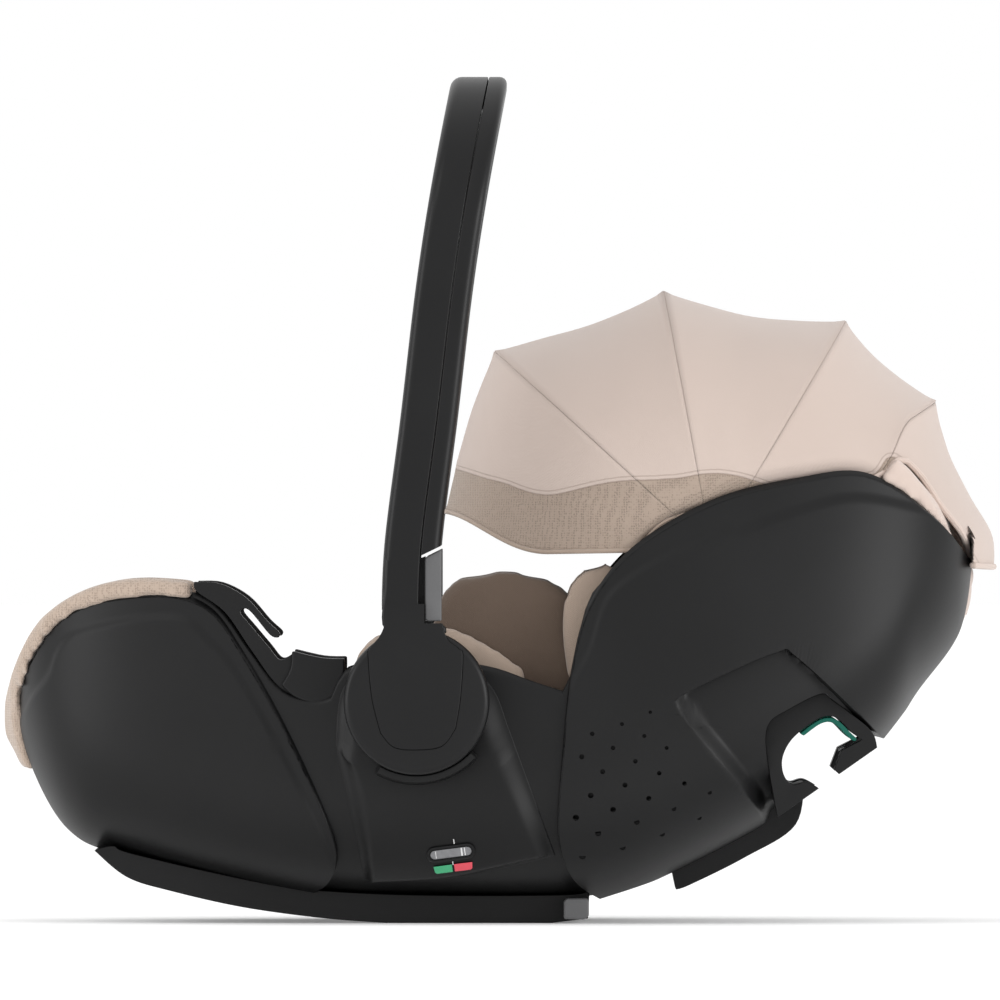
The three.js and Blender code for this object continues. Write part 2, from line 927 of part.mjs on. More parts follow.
// ---------- belt hooks on the foot-end rim ----------
const HOOK = outline([
  [
    [-207, 230.5],
    [-190, 229.5],
    [-172, 220],
    [-157.5, 204],
    [-149.5, 196.5],
    [-150, 193],
  ],
  [
    [-150, 193],
    [-156, 195],
    [-170, 211.5],
    [-176, 210],
    [-168, 200],
    [-157, 187],
    [-149, 178],
    [-141, 182],
  ],
  [
    [-141, 182],
    [-121, 178],
    [-106.5, 178],
    [-107, 168],
  ],
  ...[[...HOOK_LOWER].reverse()],
  [
    [-205, 224],
    [-207, 230.5],
  ],
]);
const beltHook = () => {
  const underRim = across(rimShape(-1.2)).intersect(box(-400, -101, -240, 240, 0, 400));
  return largest(prism(HOOK, 132, 158).subtract(underRim));
};

// ---------- insert, harness, headrest ----------
const INSERT = 12; // thickness of the newborn insert
const INSERT_DEPTH = DEPTH.cavity + GAP;
function insertCushion() {
  const side = outline([
    [
      [-62, 40],
      [-60, 110],
      [-54, 180],
      [-44, 226],
      [-22, 238],
      [10, 240],
      [38, 233],
      [62, 208],
      [90, 190],
      [150, 205],
      [205, 216],
    ],
    [
      [205, 216],
      [214, 130],
    ],
    [
      [214, 130],
      [214, 40],
      [-62, 40],
    ],
  ]);
  const walls = nest(INSERT_DEPTH, -GAP).subtract(nest(INSERT_DEPTH + 13, -GAP - INSERT));
  return largest(walls.intersect(across(side)));
}

const liningHeight = (x, y) => seatHeight(x) + bowl(y) + INSERT + 3 * GAP;

// A flat strap along the seat, from stations of [x, y, lift above the insert].
function strap(stations, width = STRAP_WIDTH, thick = STRAP_THICK) {
  const cells = [-0.5, 0, 0.5];
  const row = (add) =>
    stations.map(([x, y, lift]) =>
      cells.map((c) => [x, y + c * width, liningHeight(x, y + c * width) + lift + add]),
    );
  return sheet(row(thick), row(0));
}

const SHOULDER_PATH = [
  [168, 44, 0],
  [140, 44, 0],
  [118, 43, 1.5],
  [100, 41, 3],
  [80, 37, 3],
  [62, 31, 5],
  [52, 27, 6.5],
  [42.5, 24, 8],
];
const shoulderStrap = () => strap(SHOULDER_PATH);
function shoulderPad() {
  const row = (width, lift, inset = 0) =>
    [
      [121 - inset, 43.4, 2],
      [108, 42, 2.6],
      [92, 39.6, 3],
      [74 + inset, 35.4, 3.6],
    ].map(([x, y, rise]) =>
      [-0.5, -0.25, 0, 0.25, 0.5].map((c) => [
        x,
        y + c * width,
        liningHeight(x, y) + rise + lift - 12 * c * c,
      ]),
    );
  return sheet(row(50, 13), row(50, 5.8));
}

const BUCKLE = { x0: -20, x1: 30, halfWidth: 21, z: 84, height: 20 };
function buckleHousing() {
  const side = outline([
    [
      [BUCKLE.x0, BUCKLE.z + 3],
      [BUCKLE.x0 + 4, BUCKLE.z],
      [BUCKLE.x1 - 6, BUCKLE.z + 3],
    ],
    [
      [BUCKLE.x1 - 6, BUCKLE.z + 3],
      [BUCKLE.x1, BUCKLE.z + 5],
    ],
    [
      [BUCKLE.x1, BUCKLE.z + 5],
      [BUCKLE.x1, BUCKLE.z + BUCKLE.height + 1],
    ],
    [
      [BUCKLE.x1, BUCKLE.z + BUCKLE.height + 1],
      [BUCKLE.x1 - 10, BUCKLE.z + BUCKLE.height + 3],
      [BUCKLE.x0 + 14, BUCKLE.z + BUCKLE.height],
      [BUCKLE.x0, BUCKLE.z + BUCKLE.height - 8],
      [BUCKLE.x0, BUCKLE.z + 3],
    ],
  ]);
  const body = prism(side, -BUCKLE.halfWidth, BUCKLE.halfWidth);
  const well = box(-9, 13, -10.4, 10.4, BUCKLE.z + 10, BUCKLE.z + 40);
  const slot = box(BUCKLE.x1 - 12, BUCKLE.x1 + 5, 2, 18, BUCKLE.z + 9.6, BUCKLE.z + 13.4);
  return body.subtract(well).subtract(slot).subtract(mirrored(slot));
}
const buckleButton = () => box(-8.6, 12.6, -10, 10, BUCKLE.z + 14, BUCKLE.z + BUCKLE.height + 3);
function buckleTongue() {
  const blade = box(BUCKLE.x1 - 11, BUCKLE.x1 + 12, 3, 17, BUCKLE.z + 10, BUCKLE.z + 13);
  const bar = box(BUCKLE.x1 + 1.5, BUCKLE.x1 + 12, 3, 45, BUCKLE.z + 10, BUCKLE.z + 15);
  return blade.add(bar);
}
function crotchStrap() {
  const row = (add) =>
    [
      [-52, 78.5],
      [-44, 80],
      [-34, 83.5],
      [-22.5, 89],
    ].map(([x, z]) => [-0.5, 0, 0.5].map((c) => [x, c * 34, z + 2.5 + add]));
  return sheet(row(1.8), row(0));
}

function crotchPad() {
  const row = (add) =>
    [
      [-56, 84.5],
      [-46, 86.3],
      [-36, 90.5],
      [-27, 95],
    ].map(([x, z]) => [-0.5, -0.2, 0.2, 0.5].map((c) => [x, c * 56, z + add - 6 * c * c]));
  return sheet(row(9), row(1.2));
}

const HEADREST = { x0: 128, x1: 206, halfWidth: 92, lift: 3 };
function headrestCushion() {
  const floor = aboveSeat(-(INSERT + 2 * GAP + HEADREST.lift + 3.4));
  const inside = aboveSeat(-(INSERT + 2 * GAP + HEADREST.lift + 18));
  const row = (top) =>
    outline([
      [
        [HEADREST.x0, seatHeight(HEADREST.x0)],
        [HEADREST.x0 - 4, seatHeight(HEADREST.x0) + top * 0.8],
        [HEADREST.x0 + 8, seatHeight(HEADREST.x0) + top + 6],
        [HEADREST.x0 + 40, seatHeight(HEADREST.x0 + 40) + top + 3],
        [HEADREST.x1 - 8, seatHeight(HEADREST.x1) + top - 2],
        [HEADREST.x1, seatHeight(HEADREST.x1) + top * 0.6],
        [HEADREST.x1, seatHeight(HEADREST.x1)],
      ],
      [
        [HEADREST.x1, seatHeight(HEADREST.x1)],
        [HEADREST.x0, seatHeight(HEADREST.x0)],
      ],
    ]);
  const solid = prism(row(52), -HEADREST.halfWidth, HEADREST.halfWidth).intersect(floor);
  const bay = prism(row(90), -HEADREST.halfWidth + 18, HEADREST.halfWidth - 18).intersect(inside);
  return largest(solid.subtract(bay));
}
function headrestPlate() {
  const over = aboveSeat(-(INSERT + 2 * GAP + HEADREST.lift));
  const top = aboveSeat(-(INSERT + 2 * GAP + HEADREST.lift + 3));
  return largest(over.subtract(top).intersect(box(HEADREST.x0 + 3, HEADREST.x1 + 10, -80, 80, 0, 400)));
}
function headrestLever() {
  const x = HEADREST.x1 + 2;
  const z = seatHeight(x) + INSERT + 2 * GAP + HEADREST.lift + 3 + GAP;
  return placed(new THREE.BoxGeometry(6, 40, 12), x + 4, 0, z + 11, 0, -0.495);
}

// ---------- handle ----------
const ARM_LINE = new THREE.SplineCurve(
  [
    [195, -61],
    [254, -59.3],
    [341, -48.4],
    [427, -38.3],
    [496, -27.8],
    [571, -13.8],
  ].map(([z, x]) => new THREE.Vector2(z, x)),
).getPoints(60);
function armX(z) {
  if (z <= ARM_LINE[0].x) return ARM_LINE[0].y;
  const next = ARM_LINE.findIndex((p) => p.x >= z);
  if (next < 0) return ARM_LINE[60].y;
  const [a, b] = [ARM_LINE[next - 1], ARM_LINE[next]];
  return a.y + ((b.y - a.y) * (z - a.x)) / (b.x - a.x);
}

const BUTTON_FOOT = PIVOT.z + HUB_RADIUS + 5; // the button stands just above the hub
const BUTTON = { x0: 6.2, x1: 16.8, z0: BUTTON_FOOT, z1: BUTTON_FOOT + BUTTON_LENGTH };
const ARM_FOOT = PIVOT.z + HUB_RADIUS + 1;
const REAR_FOOT = BUTTON.z1 + 2;

// Both shells of the bar have the same stations, so that their faces stay parallel.
function armStations(bottom) {
  const bendStart = HANDLE_TOP - HANDLE_CORNER;
  const stations = [REAR_FOOT];
  for (let i = 0; i <= 6; i++) stations.push(ARM_FOOT + ((bendStart - ARM_FOOT) * i) / 6);
  return stations.filter((z) => z >= bottom).sort((a, b) => a - b);
}

// A bar swept up one arm, round both corners and down the other. The section is a
// list of [across the arm, outwards] points.
function handleBar(section, bottom) {
  const centre = HANDLE_OUTER - HANDLE_THICK / 2;
  const bend = HANDLE_CORNER - HANDLE_THICK / 2;
  const top = HANDLE_TOP - HANDLE_THICK / 2;
  const path = armStations(bottom).map((z) => ({ y: centre, z, turn: 0 }));
  for (let i = 1; i <= 6; i++) {
    const turn = ((Math.PI / 2) * i) / 6;
    path.push({ y: centre - bend + bend * Math.cos(turn), z: top - bend + bend * Math.sin(turn), turn });
  }
  const other = path.map(({ y, z, turn }) => ({ y: -y, z, turn: Math.PI - turn })).reverse();
  const rings = [...path, ...other].map(({ y, z, turn }) =>
    section.map(([u, out]) => {
      const pointZ = z + out * Math.sin(turn);
      return [armX(pointZ) + u, y + out * Math.cos(turn), pointZ];
    }),
  );
  return loft(rings);
}

function roundedSection(u0, u1, roundStart, roundEnd) {
  const half = HANDLE_THICK / 2;
  return [
    [u0 + roundStart, -half],
    [u1 - roundEnd, -half],
    [u1 - roundEnd * 0.3, -half + roundEnd * 0.3],
    [u1, -half + roundEnd],
    [u1, half - roundEnd],
    [u1 - roundEnd * 0.3, half - roundEnd * 0.3],
    [u1 - roundEnd, half],
    [u0 + roundStart, half],
    [u0 + roundStart * 0.3, half - roundStart * 0.3],
    [u0, half - roundStart],
    [u0, -half + roundStart],
    [u0 + roundStart * 0.3, -half + roundStart * 0.3],
  ];
}

function handleFront() {
  const arm = handleBar(roundedSection(ARM_FRONT, ARM_SEAM, 5, 1.2), ARM_FOOT);
  const tongue = outline([
    [
      [-21.6, 60],
      [-22.4, 48],
      [-24, 40],
      [-32.4, 30.5],
    ],
    [
      [-32.4, 30.5],
      [-29.8, 2.3],
      [-24, -21],
      [-15.3, -30.2],
      [0, -32],
      [17, -29.5],
      [26, -18],
      [29.3, 2.3],
      [31, 31],
    ],
    [
      [31, 31],
      [20.8, 38.5],
      [15.8, 52],
    ],
    [
      [15.8, 52],
      [0.5, 52.4],
    ],
    [
      [0.5, 52.4],
      [0.5, 60],
      [-21.6, 60],
    ],
  ]);
  const atPivot = tongue.getPoints().map((p) => new THREE.Vector2(p.x + PIVOT.x, p.y + PIVOT.z));
  const shape = new THREE.Shape(atPivot);
  const disc = cylinderY(PIVOT.x, PIVOT.z, HUB_RADIUS + GAP, 100, HANDLE_OUTER - 4 + GAP, 40);
  const neck = prism(shape, HANDLE_OUTER - HANDLE_THICK, HANDLE_OUTER).subtract(disc);
  const pocket = box(PIVOT.x - 4, PIVOT.x + 30, 200.6, 217.4, BUTTON.z0 - GAP, BUTTON.z1 + GAP);
  return largest(arm.add(neck).add(mirrored(neck)).subtract(pocket).subtract(mirrored(pocket)));
}

const handleRear = () =>
  handleBar(roundedSection(ARM_SEAM + GAP, ARM_REAR, 1.2, 5), REAR_FOOT).subtract(
    box(PIVOT.x - 4, PIVOT.x + 30, -240, 240, 190, BUTTON.z1 + GAP),
  );

function hubCover() {
  const face = HANDLE_OUTER - 4;
  const disc = cylinderY(PIVOT.x, PIVOT.z, HUB_RADIUS, HUB_INNER, face - 4, 40);
  const bevel = cylinderY(PIVOT.x, PIVOT.z, HUB_RADIUS, face - 4, face, 40, HUB_RADIUS - 4);
  const bore = cylinderY(PIVOT.x, PIVOT.z, AXLE_RADIUS + AXLE_PLAY, 150, AXLE_END + GAP, 20);
  return disc.add(bevel).subtract(bore);
}

function releaseButton() {
  const body = box(PIVOT.x + BUTTON.x0, PIVOT.x + BUTTON.x1, 201.2, 216.8, BUTTON.z0, BUTTON.z1);
  return body;
}

// ---------- canopy ----------
// Bows fan out from the pivot. The angle is measured from the head end, over the top.
const BOWS = {
  front: { angle: 169, reach: 182, seat: 0 },
  high: { angle: 137.5, reach: 198, seat: 1 },
  top: { angle: 100.3, reach: 177, seat: 2 },
  back: { angle: 59.3, reach: 179, seat: 3 },
  rear: { angle: 33.2, reach: 182.5, seat: 4 },
};
const CANOPY_HALF_WIDTH = HEAD_HALF_WIDTH - 17;
const BOW_PIN_END = HEAD_HALF_WIDTH - 19;
const HOOP_POWER = 2.6;
const radians = (degrees) => (degrees * Math.PI) / 180;

function hoopPoint(degrees, reach, halfWidth, turn, aside = 0) {
  const r = reach * Math.pow(Math.max(0, Math.sin(turn)), 2 / HOOP_POWER);
  const y = Math.sign(Math.cos(turn)) * halfWidth * Math.pow(Math.abs(Math.cos(turn)), 2 / HOOP_POWER);
  const phi = radians(degrees);
  return [
    CANOPY_PIVOT.x + r * Math.cos(phi) - aside * Math.sin(phi),
    y,
    CANOPY_PIVOT.z + r * Math.sin(phi) + aside * Math.cos(phi),
  ];
}

function bow({ angle, reach, seat }) {
  const radius = reach - FABRIC - BOW_CLEARANCE - BOW_ROD;
  const leg = BOW_OUTER - BOW_PITCH * seat;
  const steps = 16;
  const rings = [];
  for (let i = 0; i <= steps; i++) {
    const turn = 0.0006 + ((Math.PI - 0.0012) * i) / steps;
    const ring = [];
    for (let j = 0; j < 5; j++) {
      const around = ((2 * Math.PI) / 5) * j;
      const grow = BOW_ROD * Math.cos(around);
      ring.push(hoopPoint(angle, radius + grow, leg + grow, turn, BOW_ROD * Math.sin(around)));
    }
    rings.push(ring);
  }
  const rod = loft(rings);
  const { x, z } = CANOPY_PIVOT;
  const eye = cylinderY(x, z, BOW_PIN_RADIUS + 3.4, leg - 2.2, leg + 2.2, 10);
  const hole = cylinderY(x, z, BOW_PIN_RADIUS + AXLE_PLAY, 100, 200, 10);
  return rod.add(eye).add(mirrored(eye)).subtract(hole).subtract(mirrored(hole));
}

// Cloth between two bows: it sags a little between them and ends in a hem below.
function canopyPanel(from, to, sag, hemFrom, hemTo, frontEdge = null, rows = 5, trim = 0.15) {
  const grid = (inset) => {
    const lines = [];
    for (let i = 0; i <= rows; i++) {
      const t = i / rows;
      const reach = from.reach + (to.reach - from.reach) * t - sag * 4 * t * (1 - t) - inset;
      const hem = hemFrom + (hemTo - hemFrom) * t;
      const start = Math.asin(Math.pow(hem / reach, HOOP_POWER / 2));
      const line = [];
      for (let j = 0; j <= 16; j++) {
        const turn = start + ((Math.PI - 2 * start) * j) / 16;
        const r = reach * Math.pow(Math.sin(turn), 2 / HOOP_POWER);
        const end = frontEdge ? frontEdge(r) : to.angle - trim;
        const phi = from.angle + trim + (end - from.angle - trim) * t;
        line.push(hoopPoint(phi, reach, CANOPY_HALF_WIDTH - inset, turn));
      }
      lines.push(line);
    }
    return lines;
  };
  return sheet(grid(0), grid(FABRIC));
}

// The front hem hangs almost level beside the child.
const frontEdge = (r) => 181 - 9 * THREE.MathUtils.smoothstep(r, 110, 182);

// The cloth behind the last bow hangs over the rim as a rounded flap.
// Each row: angle, reach, and the reach at which the side hem starts.
const FLAP_ROWS = [
  [33.0, 182.3, 124],
  [28, 177, 138],
  [20.3, 174.5, 149],
  [11.2, 180, 157],
  [3.5, 190.6, 170],
  [-0.6, 193.55, 182],
  [-3.6, 193.5, 190],
];
function canopyFlap() {
  const grid = (inset) =>
    FLAP_ROWS.map(([angle, reach, hem]) => {
      const start = Math.asin(Math.pow((hem - inset) / (reach - inset), HOOP_POWER / 2));
      const line = [];
      for (let j = 0; j <= 14; j++) {
        const turn = start + ((Math.PI - 2 * start) * j) / 14;
        line.push(hoopPoint(angle, reach - inset, CANOPY_HALF_WIDTH - inset, turn));
      }
      return line;
    });
  return sheet(grid(0), grid(FABRIC));
}

function canopyMount() {
  const { x, z } = CANOPY_PIVOT;
  const plate = hull(DEPTH.shell)
    .subtract(hull(DEPTH.shell + 3))
    .intersect(cylinderY(x, z, 11, 100, 240, 20))
    .intersect(box(0, 300, 100, 240, 240, 300));
  const pin = cylinderY(x, z, BOW_PIN_RADIUS, BOW_OUTER - 5 * BOW_PITCH, BOW_PIN_END, 14);
  return plate.add(pin);
}

// ---------- assembly ----------
const LOOKS = {
  plastic: { color: 0x232425, roughness: 0.55 },
  plasticDark: { color: 0x171819, roughness: 0.6 },
  greyPlastic: { color: 0x55585a, roughness: 0.5 },
  canopy: { color: 0xe3d2c6, roughness: 0.95 },
  mesh: { color: 0xb39c8b, roughness: 0.9 },
  tan: { color: 0xb09a88, roughness: 0.9 },
  brown: { color: 0x6e6056, roughness: 0.95 },
  strap: { color: 0x5b534d, roughness: 0.8 },
  foam: { color: 0xdcdcd8, roughness: 0.9 },
  metal: { color: 0xb8babc, roughness: 0.3, metalness: 1 },
  green: { color: 0x2fbf73, roughness: 0.5 },
  teal: { color: 0x0f6b50, roughness: 0.5 },
  red: { color: 0xf04858, roughness: 0.5 },
};

const group = new THREE.Group();
function add(name, solid, look) {
  const mesh = new THREE.Mesh(geometryOf(solid), new THREE.MeshStandardMaterial(LOOKS[look]));
  mesh.name = name;
  group.add(mesh);
}
function addPair(name, solid, look) {
  add(`${name}_left`, mirrored(solid), look);
  add(`${name}_right`, solid, look);
}

add("seat_shell", outerShell(), "plastic");
add("inner_bucket", innerBucket(), "plasticDark");
add("foam_liner", foamLiner(), "foam");
add("seat_pad", seatPad(), "tan");
add("back_pad", backPad(), "tan");
add("foot_rim_cloth", frontRimRoll(), "tan");
add("head_rim_cloth", headRimRoll(), "tan");
add("insert_cushion", insertCushion(), "brown");
addPair("front_cover", frontCover(), "plastic");
addPair("rear_cover", rearCover(), "plastic");
addPair("belt_guide", beltGuide(), "plasticDark");
addPair("guide_lining", guideLiner(), "teal");
addPair("belt_hook", beltHook(), "plastic");
add("hub_seat_left", mirrored(hubSeat(true)), "plastic");
add("hub_seat_right", hubSeat(false), "plastic");
addPair("pivot_axle", axle(), "metal");
add("back_panel", backPanel(), "plasticDark");
add("rocker_base", rockerBase(), "plastic");
addPair("heel_foot", heelFoot(), "greyPlastic");
add("level_bezel", mirrored(levelBezel()), "plasticDark");
add("level_mark_green", mirrored(levelMark(-6.6)), "green");
add("level_mark_red", mirrored(levelMark(7.4)), "red");
add("handle_front", handleFront(), "plastic");
add("handle_rear", handleRear(), "plastic");
addPair("hub_cover", hubCover(), "plastic");
addPair("release_button", releaseButton(), "greyPlastic");
addPair("canopy_mount", canopyMount(), "plasticDark");
add("canopy_bow_front", bow(BOWS.front), "metal");
add("canopy_bow_high", bow(BOWS.high), "metal");
add("canopy_bow_top", bow(BOWS.top), "metal");
add("canopy_bow_back", bow(BOWS.back), "metal");
add("canopy_bow_rear", bow(BOWS.rear), "metal");
add("canopy_cloth_front", canopyPanel(BOWS.high, BOWS.front, 4, 32, 48, frontEdge, 6), "canopy");
add("canopy_cloth_high", canopyPanel(BOWS.top, BOWS.high, 8, 28.5, 32, null), "canopy");
add("canopy_cloth_top", canopyPanel(BOWS.back, BOWS.top, 9.6, 50, 28.5, null), "canopy");
add("canopy_cloth_back", canopyPanel(BOWS.rear, BOWS.back, 3, 92, 50, null, 4), "canopy");
add("canopy_flap", canopyFlap(), "canopy");
add("headrest_cushion", headrestCushion(), "tan");
add("headrest_plate", headrestPlate(), "plasticDark");
add("headrest_lever", headrestLever(), "plastic");
addPair("shoulder_strap", shoulderStrap(), "strap");
addPair("shoulder_pad", shoulderPad(), "brown");
add("crotch_strap", crotchStrap(), "strap");
add("crotch_pad", crotchPad(), "brown");
add("buckle_housing", buckleHousing(), "plastic");
add("buckle_button", buckleButton(), "red");
addPair("buckle_tongue", buckleTongue(), "metal");

export default group;
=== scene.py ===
"""Infant car seat: the finished look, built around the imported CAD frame.

Shapes are worked out in millimetres and put in place in metres.
X runs towards the head end, Z is up and -Y is the child's left side.
"""

import math

import bpy
from mathutils import Matrix, Vector, kdtree, noise


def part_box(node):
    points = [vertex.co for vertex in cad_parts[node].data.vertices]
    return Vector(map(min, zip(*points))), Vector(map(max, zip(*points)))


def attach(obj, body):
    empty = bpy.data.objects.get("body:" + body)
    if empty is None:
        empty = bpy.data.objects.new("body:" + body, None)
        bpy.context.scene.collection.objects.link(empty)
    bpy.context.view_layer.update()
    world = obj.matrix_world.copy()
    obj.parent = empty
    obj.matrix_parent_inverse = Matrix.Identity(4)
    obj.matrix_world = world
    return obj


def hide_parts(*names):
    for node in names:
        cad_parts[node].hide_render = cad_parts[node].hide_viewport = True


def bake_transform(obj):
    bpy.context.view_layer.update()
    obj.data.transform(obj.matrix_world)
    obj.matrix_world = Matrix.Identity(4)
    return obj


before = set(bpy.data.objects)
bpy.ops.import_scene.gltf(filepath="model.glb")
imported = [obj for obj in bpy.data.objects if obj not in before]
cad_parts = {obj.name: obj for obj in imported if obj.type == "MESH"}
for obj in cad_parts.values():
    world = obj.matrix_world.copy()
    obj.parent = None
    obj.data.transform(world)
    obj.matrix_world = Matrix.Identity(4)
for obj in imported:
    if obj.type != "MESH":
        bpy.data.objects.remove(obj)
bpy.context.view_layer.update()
bpy.ops.object.select_all(action="DESELECT")
MM = 0.001
SIDES = (("left", -1), ("right", 1))

# ---------------------------------------------------------------- hull form
FOOT_END, HEAD_END = -330.0, 320.0
FOOT_HALF_WIDTH, HEAD_HALF_WIDTH = 158.0, 188.0
PLAN_POWER, SECTION_POWER = 3.8, 3.2
CORNER_HEIGHT = 105.0
COVER_SPLIT = 60.0
HULL_MIDDLE = (FOOT_END + HEAD_END) / 2
HULL_HALF = (HEAD_END - FOOT_END) / 2
PIVOT = (-57.0, 150.0)
CANOPY_PIVOT = (141.5, 252.5)
SEAT_LOW = (-20.0, 62.0)
BACK_SLOPE = 0.54


def mix(a, b, t):
    return a + (b - a) * t


def smooth(value, low, high):
    t = min(1.0, max(0.0, (value - low) / (high - low)))
    return t * t * (3 - 2 * t)


def spline(knots, steps=8):
    """Points on a smooth curve through knots of any dimension."""
    size = len(knots[0])
    out = []
    for i in range(len(knots) - 1):
        p0, p1 = knots[max(i - 1, 0)], knots[i]
        p2, p3 = knots[i + 1], knots[min(i + 2, len(knots) - 1)]
        for j in range(steps):
            t = j / steps
            out.append(
                tuple(
                    0.5
                    * (
                        2 * p1[k]
                        + (p2[k] - p0[k]) * t
                        + (2 * p0[k] - 5 * p1[k] + 4 * p2[k] - p3[k]) * t * t
                        + (3 * p1[k] - p0[k] - 3 * p2[k] + p3[k]) * t * t * t
                    )
                    for k in range(size)
                )
            )
    out.append(tuple(float(v) for v in knots[-1]))
    return out


def table(points):
    """A function that reads y at x from points sorted by x."""

    def read(x):
        if x <= points[0][0]:
            return points[0][1]
        for (x0, y0), (x1, y1) in zip(points, points[1:]):
            if x <= x1:
                return mix(y0, y1, (x - x0) / max(x1 - x0, 1e-9))
        return points[-1][1]

    return read


def outline(*stretches, steps=8):
    """A closed outline: a stretch of two points is straight, a longer one is a curve."""
    points = []
    for stretch in stretches:
        for p in stretch if len(stretch) == 2 else spline(stretch, steps):
            if not points or math.dist(p, points[-1]) > 0.2:
                points.append((float(p[0]), float(p[1])))
    if math.dist(points[0], points[-1]) < 0.2:
        points.pop()
    return points


def evenly(points, count, closed=True):
    """The same line again with evenly spaced points."""
    line = points + [points[0]] if closed else points
    lengths = [0.0]
    for a, b in zip(line, line[1:]):
        lengths.append(lengths[-1] + math.dist(a, b))
    total, out, at = lengths[-1], [], 0
    for i in range(count):
        want = total * i / (count if closed else count - 1)
        while at < len(lengths) - 2 and lengths[at + 1] < want:
            at += 1
        t = (want - lengths[at]) / max(lengths[at + 1] - lengths[at], 1e-9)
        out.append(tuple(mix(p, q, t) for p, q in zip(line[at], line[at + 1])))
    return out


class Line:
    """A line seen from the side that tells how far a point is from it, and on which side."""

    STEP = 0.5

    def __init__(self, points, closed=False):
        ends = points + points[:1] if closed else points
        length = sum(math.dist(a, b) for a, b in zip(ends, ends[1:]))
        self.points = evenly(points, max(8, int(length / self.STEP)), closed)
        self.tree = kdtree.KDTree(len(self.points))
        for index, (x, z) in enumerate(self.points):
            self.tree.insert((x, 0, z), index)
        self.tree.balance()

    def right_of(self, x, z):
        """The distance, positive on the right-hand side of the line's own direction."""
        near, index, away = self.tree.find((x, 0, z))
        before = self.points[max(index - 1, 0)]
        after = self.points[min(index + 1, len(self.points) - 1)]
        ahead = (after[0] - before[0], after[1] - before[1])
        turn = ahead[0] * (z - near[2]) - ahead[1] * (x - near[0])
        return -away if turn > 0 else away


belly = table(
    spline(
        [
            (-330, 132),
            (-320, 104),
            (-292, 60),
            (-250, 43),
            (-133, 17),
            (-60, 13),
            (40, 13),
            (72, 17),
            (113, 33),
            (185, 71),
            (253, 119),
            (282, 157),
            (310, 194),
            (320, 236),
        ],
        20,
    )
)


def half_width(x):
    along = min(1.0, abs((x - HULL_MIDDLE) / HULL_HALF))
    widest = mix(FOOT_HALF_WIDTH, HEAD_HALF_WIDTH, smooth(x, FOOT_END, HEAD_END * 0.5))
    return widest * max(0.0, 1 - along**PLAN_POWER) ** (1 / PLAN_POWER)


def lean(z):
    return 1 - 0.1 * (max(0.0, z - 130) / 170) ** 2


def hull(a, b, out=0.0):
    """A point on the hull: a runs from foot to head, b from the keel up the side."""
    angle = math.pi * (a - 0.5)
    x = HULL_MIDDLE + HULL_HALF * math.sin(angle)
    width = half_width(x)
    slope = (half_width(x + 0.5) - half_width(x - 0.5)) if 0.002 < a < 0.998 else 0.0
    length = math.hypot(1, slope)
    nx, ny = (-slope / length, 1 / length) if 0.002 < a < 0.998 else (math.copysign(1, angle), 0)
    x += out * nx
    width = max(0.0, width + out * ny)
    steep = (belly(x + 1) - belly(x - 1)) / 2
    z = belly(x) - out * min(2.2, math.hypot(1, steep))
    if b <= 1:
        t = b * math.pi / 2
        y = width * math.sin(t) ** (2 / SECTION_POWER)
        z += CORNER_HEIGHT * (1 - max(0.0, math.cos(t)) ** (2 / SECTION_POWER))
    else:
        y = width
        z += CORNER_HEIGHT + (b - 1) * 100
    return x, y * lean(z), z


def hull_at(x, z):
    """The place (a, b) on the hull that is seen from the side at x and z."""
    share = max(-0.99995, min(0.99995, (x - HULL_MIDDLE) / HULL_HALF))
    a = math.asin(share) / math.pi + 0.5
    drop = 1 - (z - belly(x)) / CORNER_HEIGHT
    if drop <= 0:
        return a, 1 - drop * CORNER_HEIGHT / 100
    return a, math.acos(min(1.0, drop ** (SECTION_POWER / 2))) / (math.pi / 2)


def side_y(x, z, out=0.0):
    return hull(*hull_at(x, z), out)[1]


def split_line(split):
    """Where the hull is exactly split from the middle plane, as (x, z, a, b)."""
    found = []
    for i in range(1, 400):
        a = i / 400
        if hull(a, 1.0)[1] < split:
            continue
        low, high = 0.0, 1.0
        for _ in range(18):
            b = (low + high) / 2
            low, high = (b, high) if hull(a, b)[1] < split else (low, b)
        x, _, z = hull(a, high)
        found.append((x, z, a, high))
    for i in range(120):
        b = 0.5 + i / 50
        for start, end in ((0.0, 0.4), (1.0, 0.6)):
            if hull(end, b)[1] < split:
                continue
            low, high = start, end
            for _ in range(18):
                a = (low + high) / 2
                low, high = (a, high) if hull(a, b)[1] < split else (low, a)
            x, _, z = hull(high, b)
            found.append((x, z, high, b))
    return found


SPLIT_LINE = split_line(COVER_SPLIT)


def on_side(points):
    """An outline seen from the side, as places (a, b) no nearer the middle than the split."""
    places = []
    for x, z in points:
        a, b = hull_at(x, z)
        if hull(a, b)[1] < COVER_SPLIT:
            near = min(SPLIT_LINE, key=lambda s: (s[0] - x) ** 2 + (s[1] - z) ** 2)
            a, b = near[2], near[3]
        places.append((a, b))
    return places


# ---------------------------------------------------------------- mesh tools
MERGE_DISTANCE = 0.000002  # metres; a longer one closes the thinnest bevels of the covers


def only(obj):
    """Makes obj the one selected and active object."""
    bpy.ops.object.select_all(action="DESELECT")
    obj.select_set(True)
    bpy.context.view_layer.objects.active = obj


def shaded(obj, angle):
    """Shades obj smooth, apart from edges sharper than the angle."""
    only(obj)
    bpy.ops.object.shade_smooth_by_angle(angle=math.radians(angle))
    obj.select_set(False)
    return obj


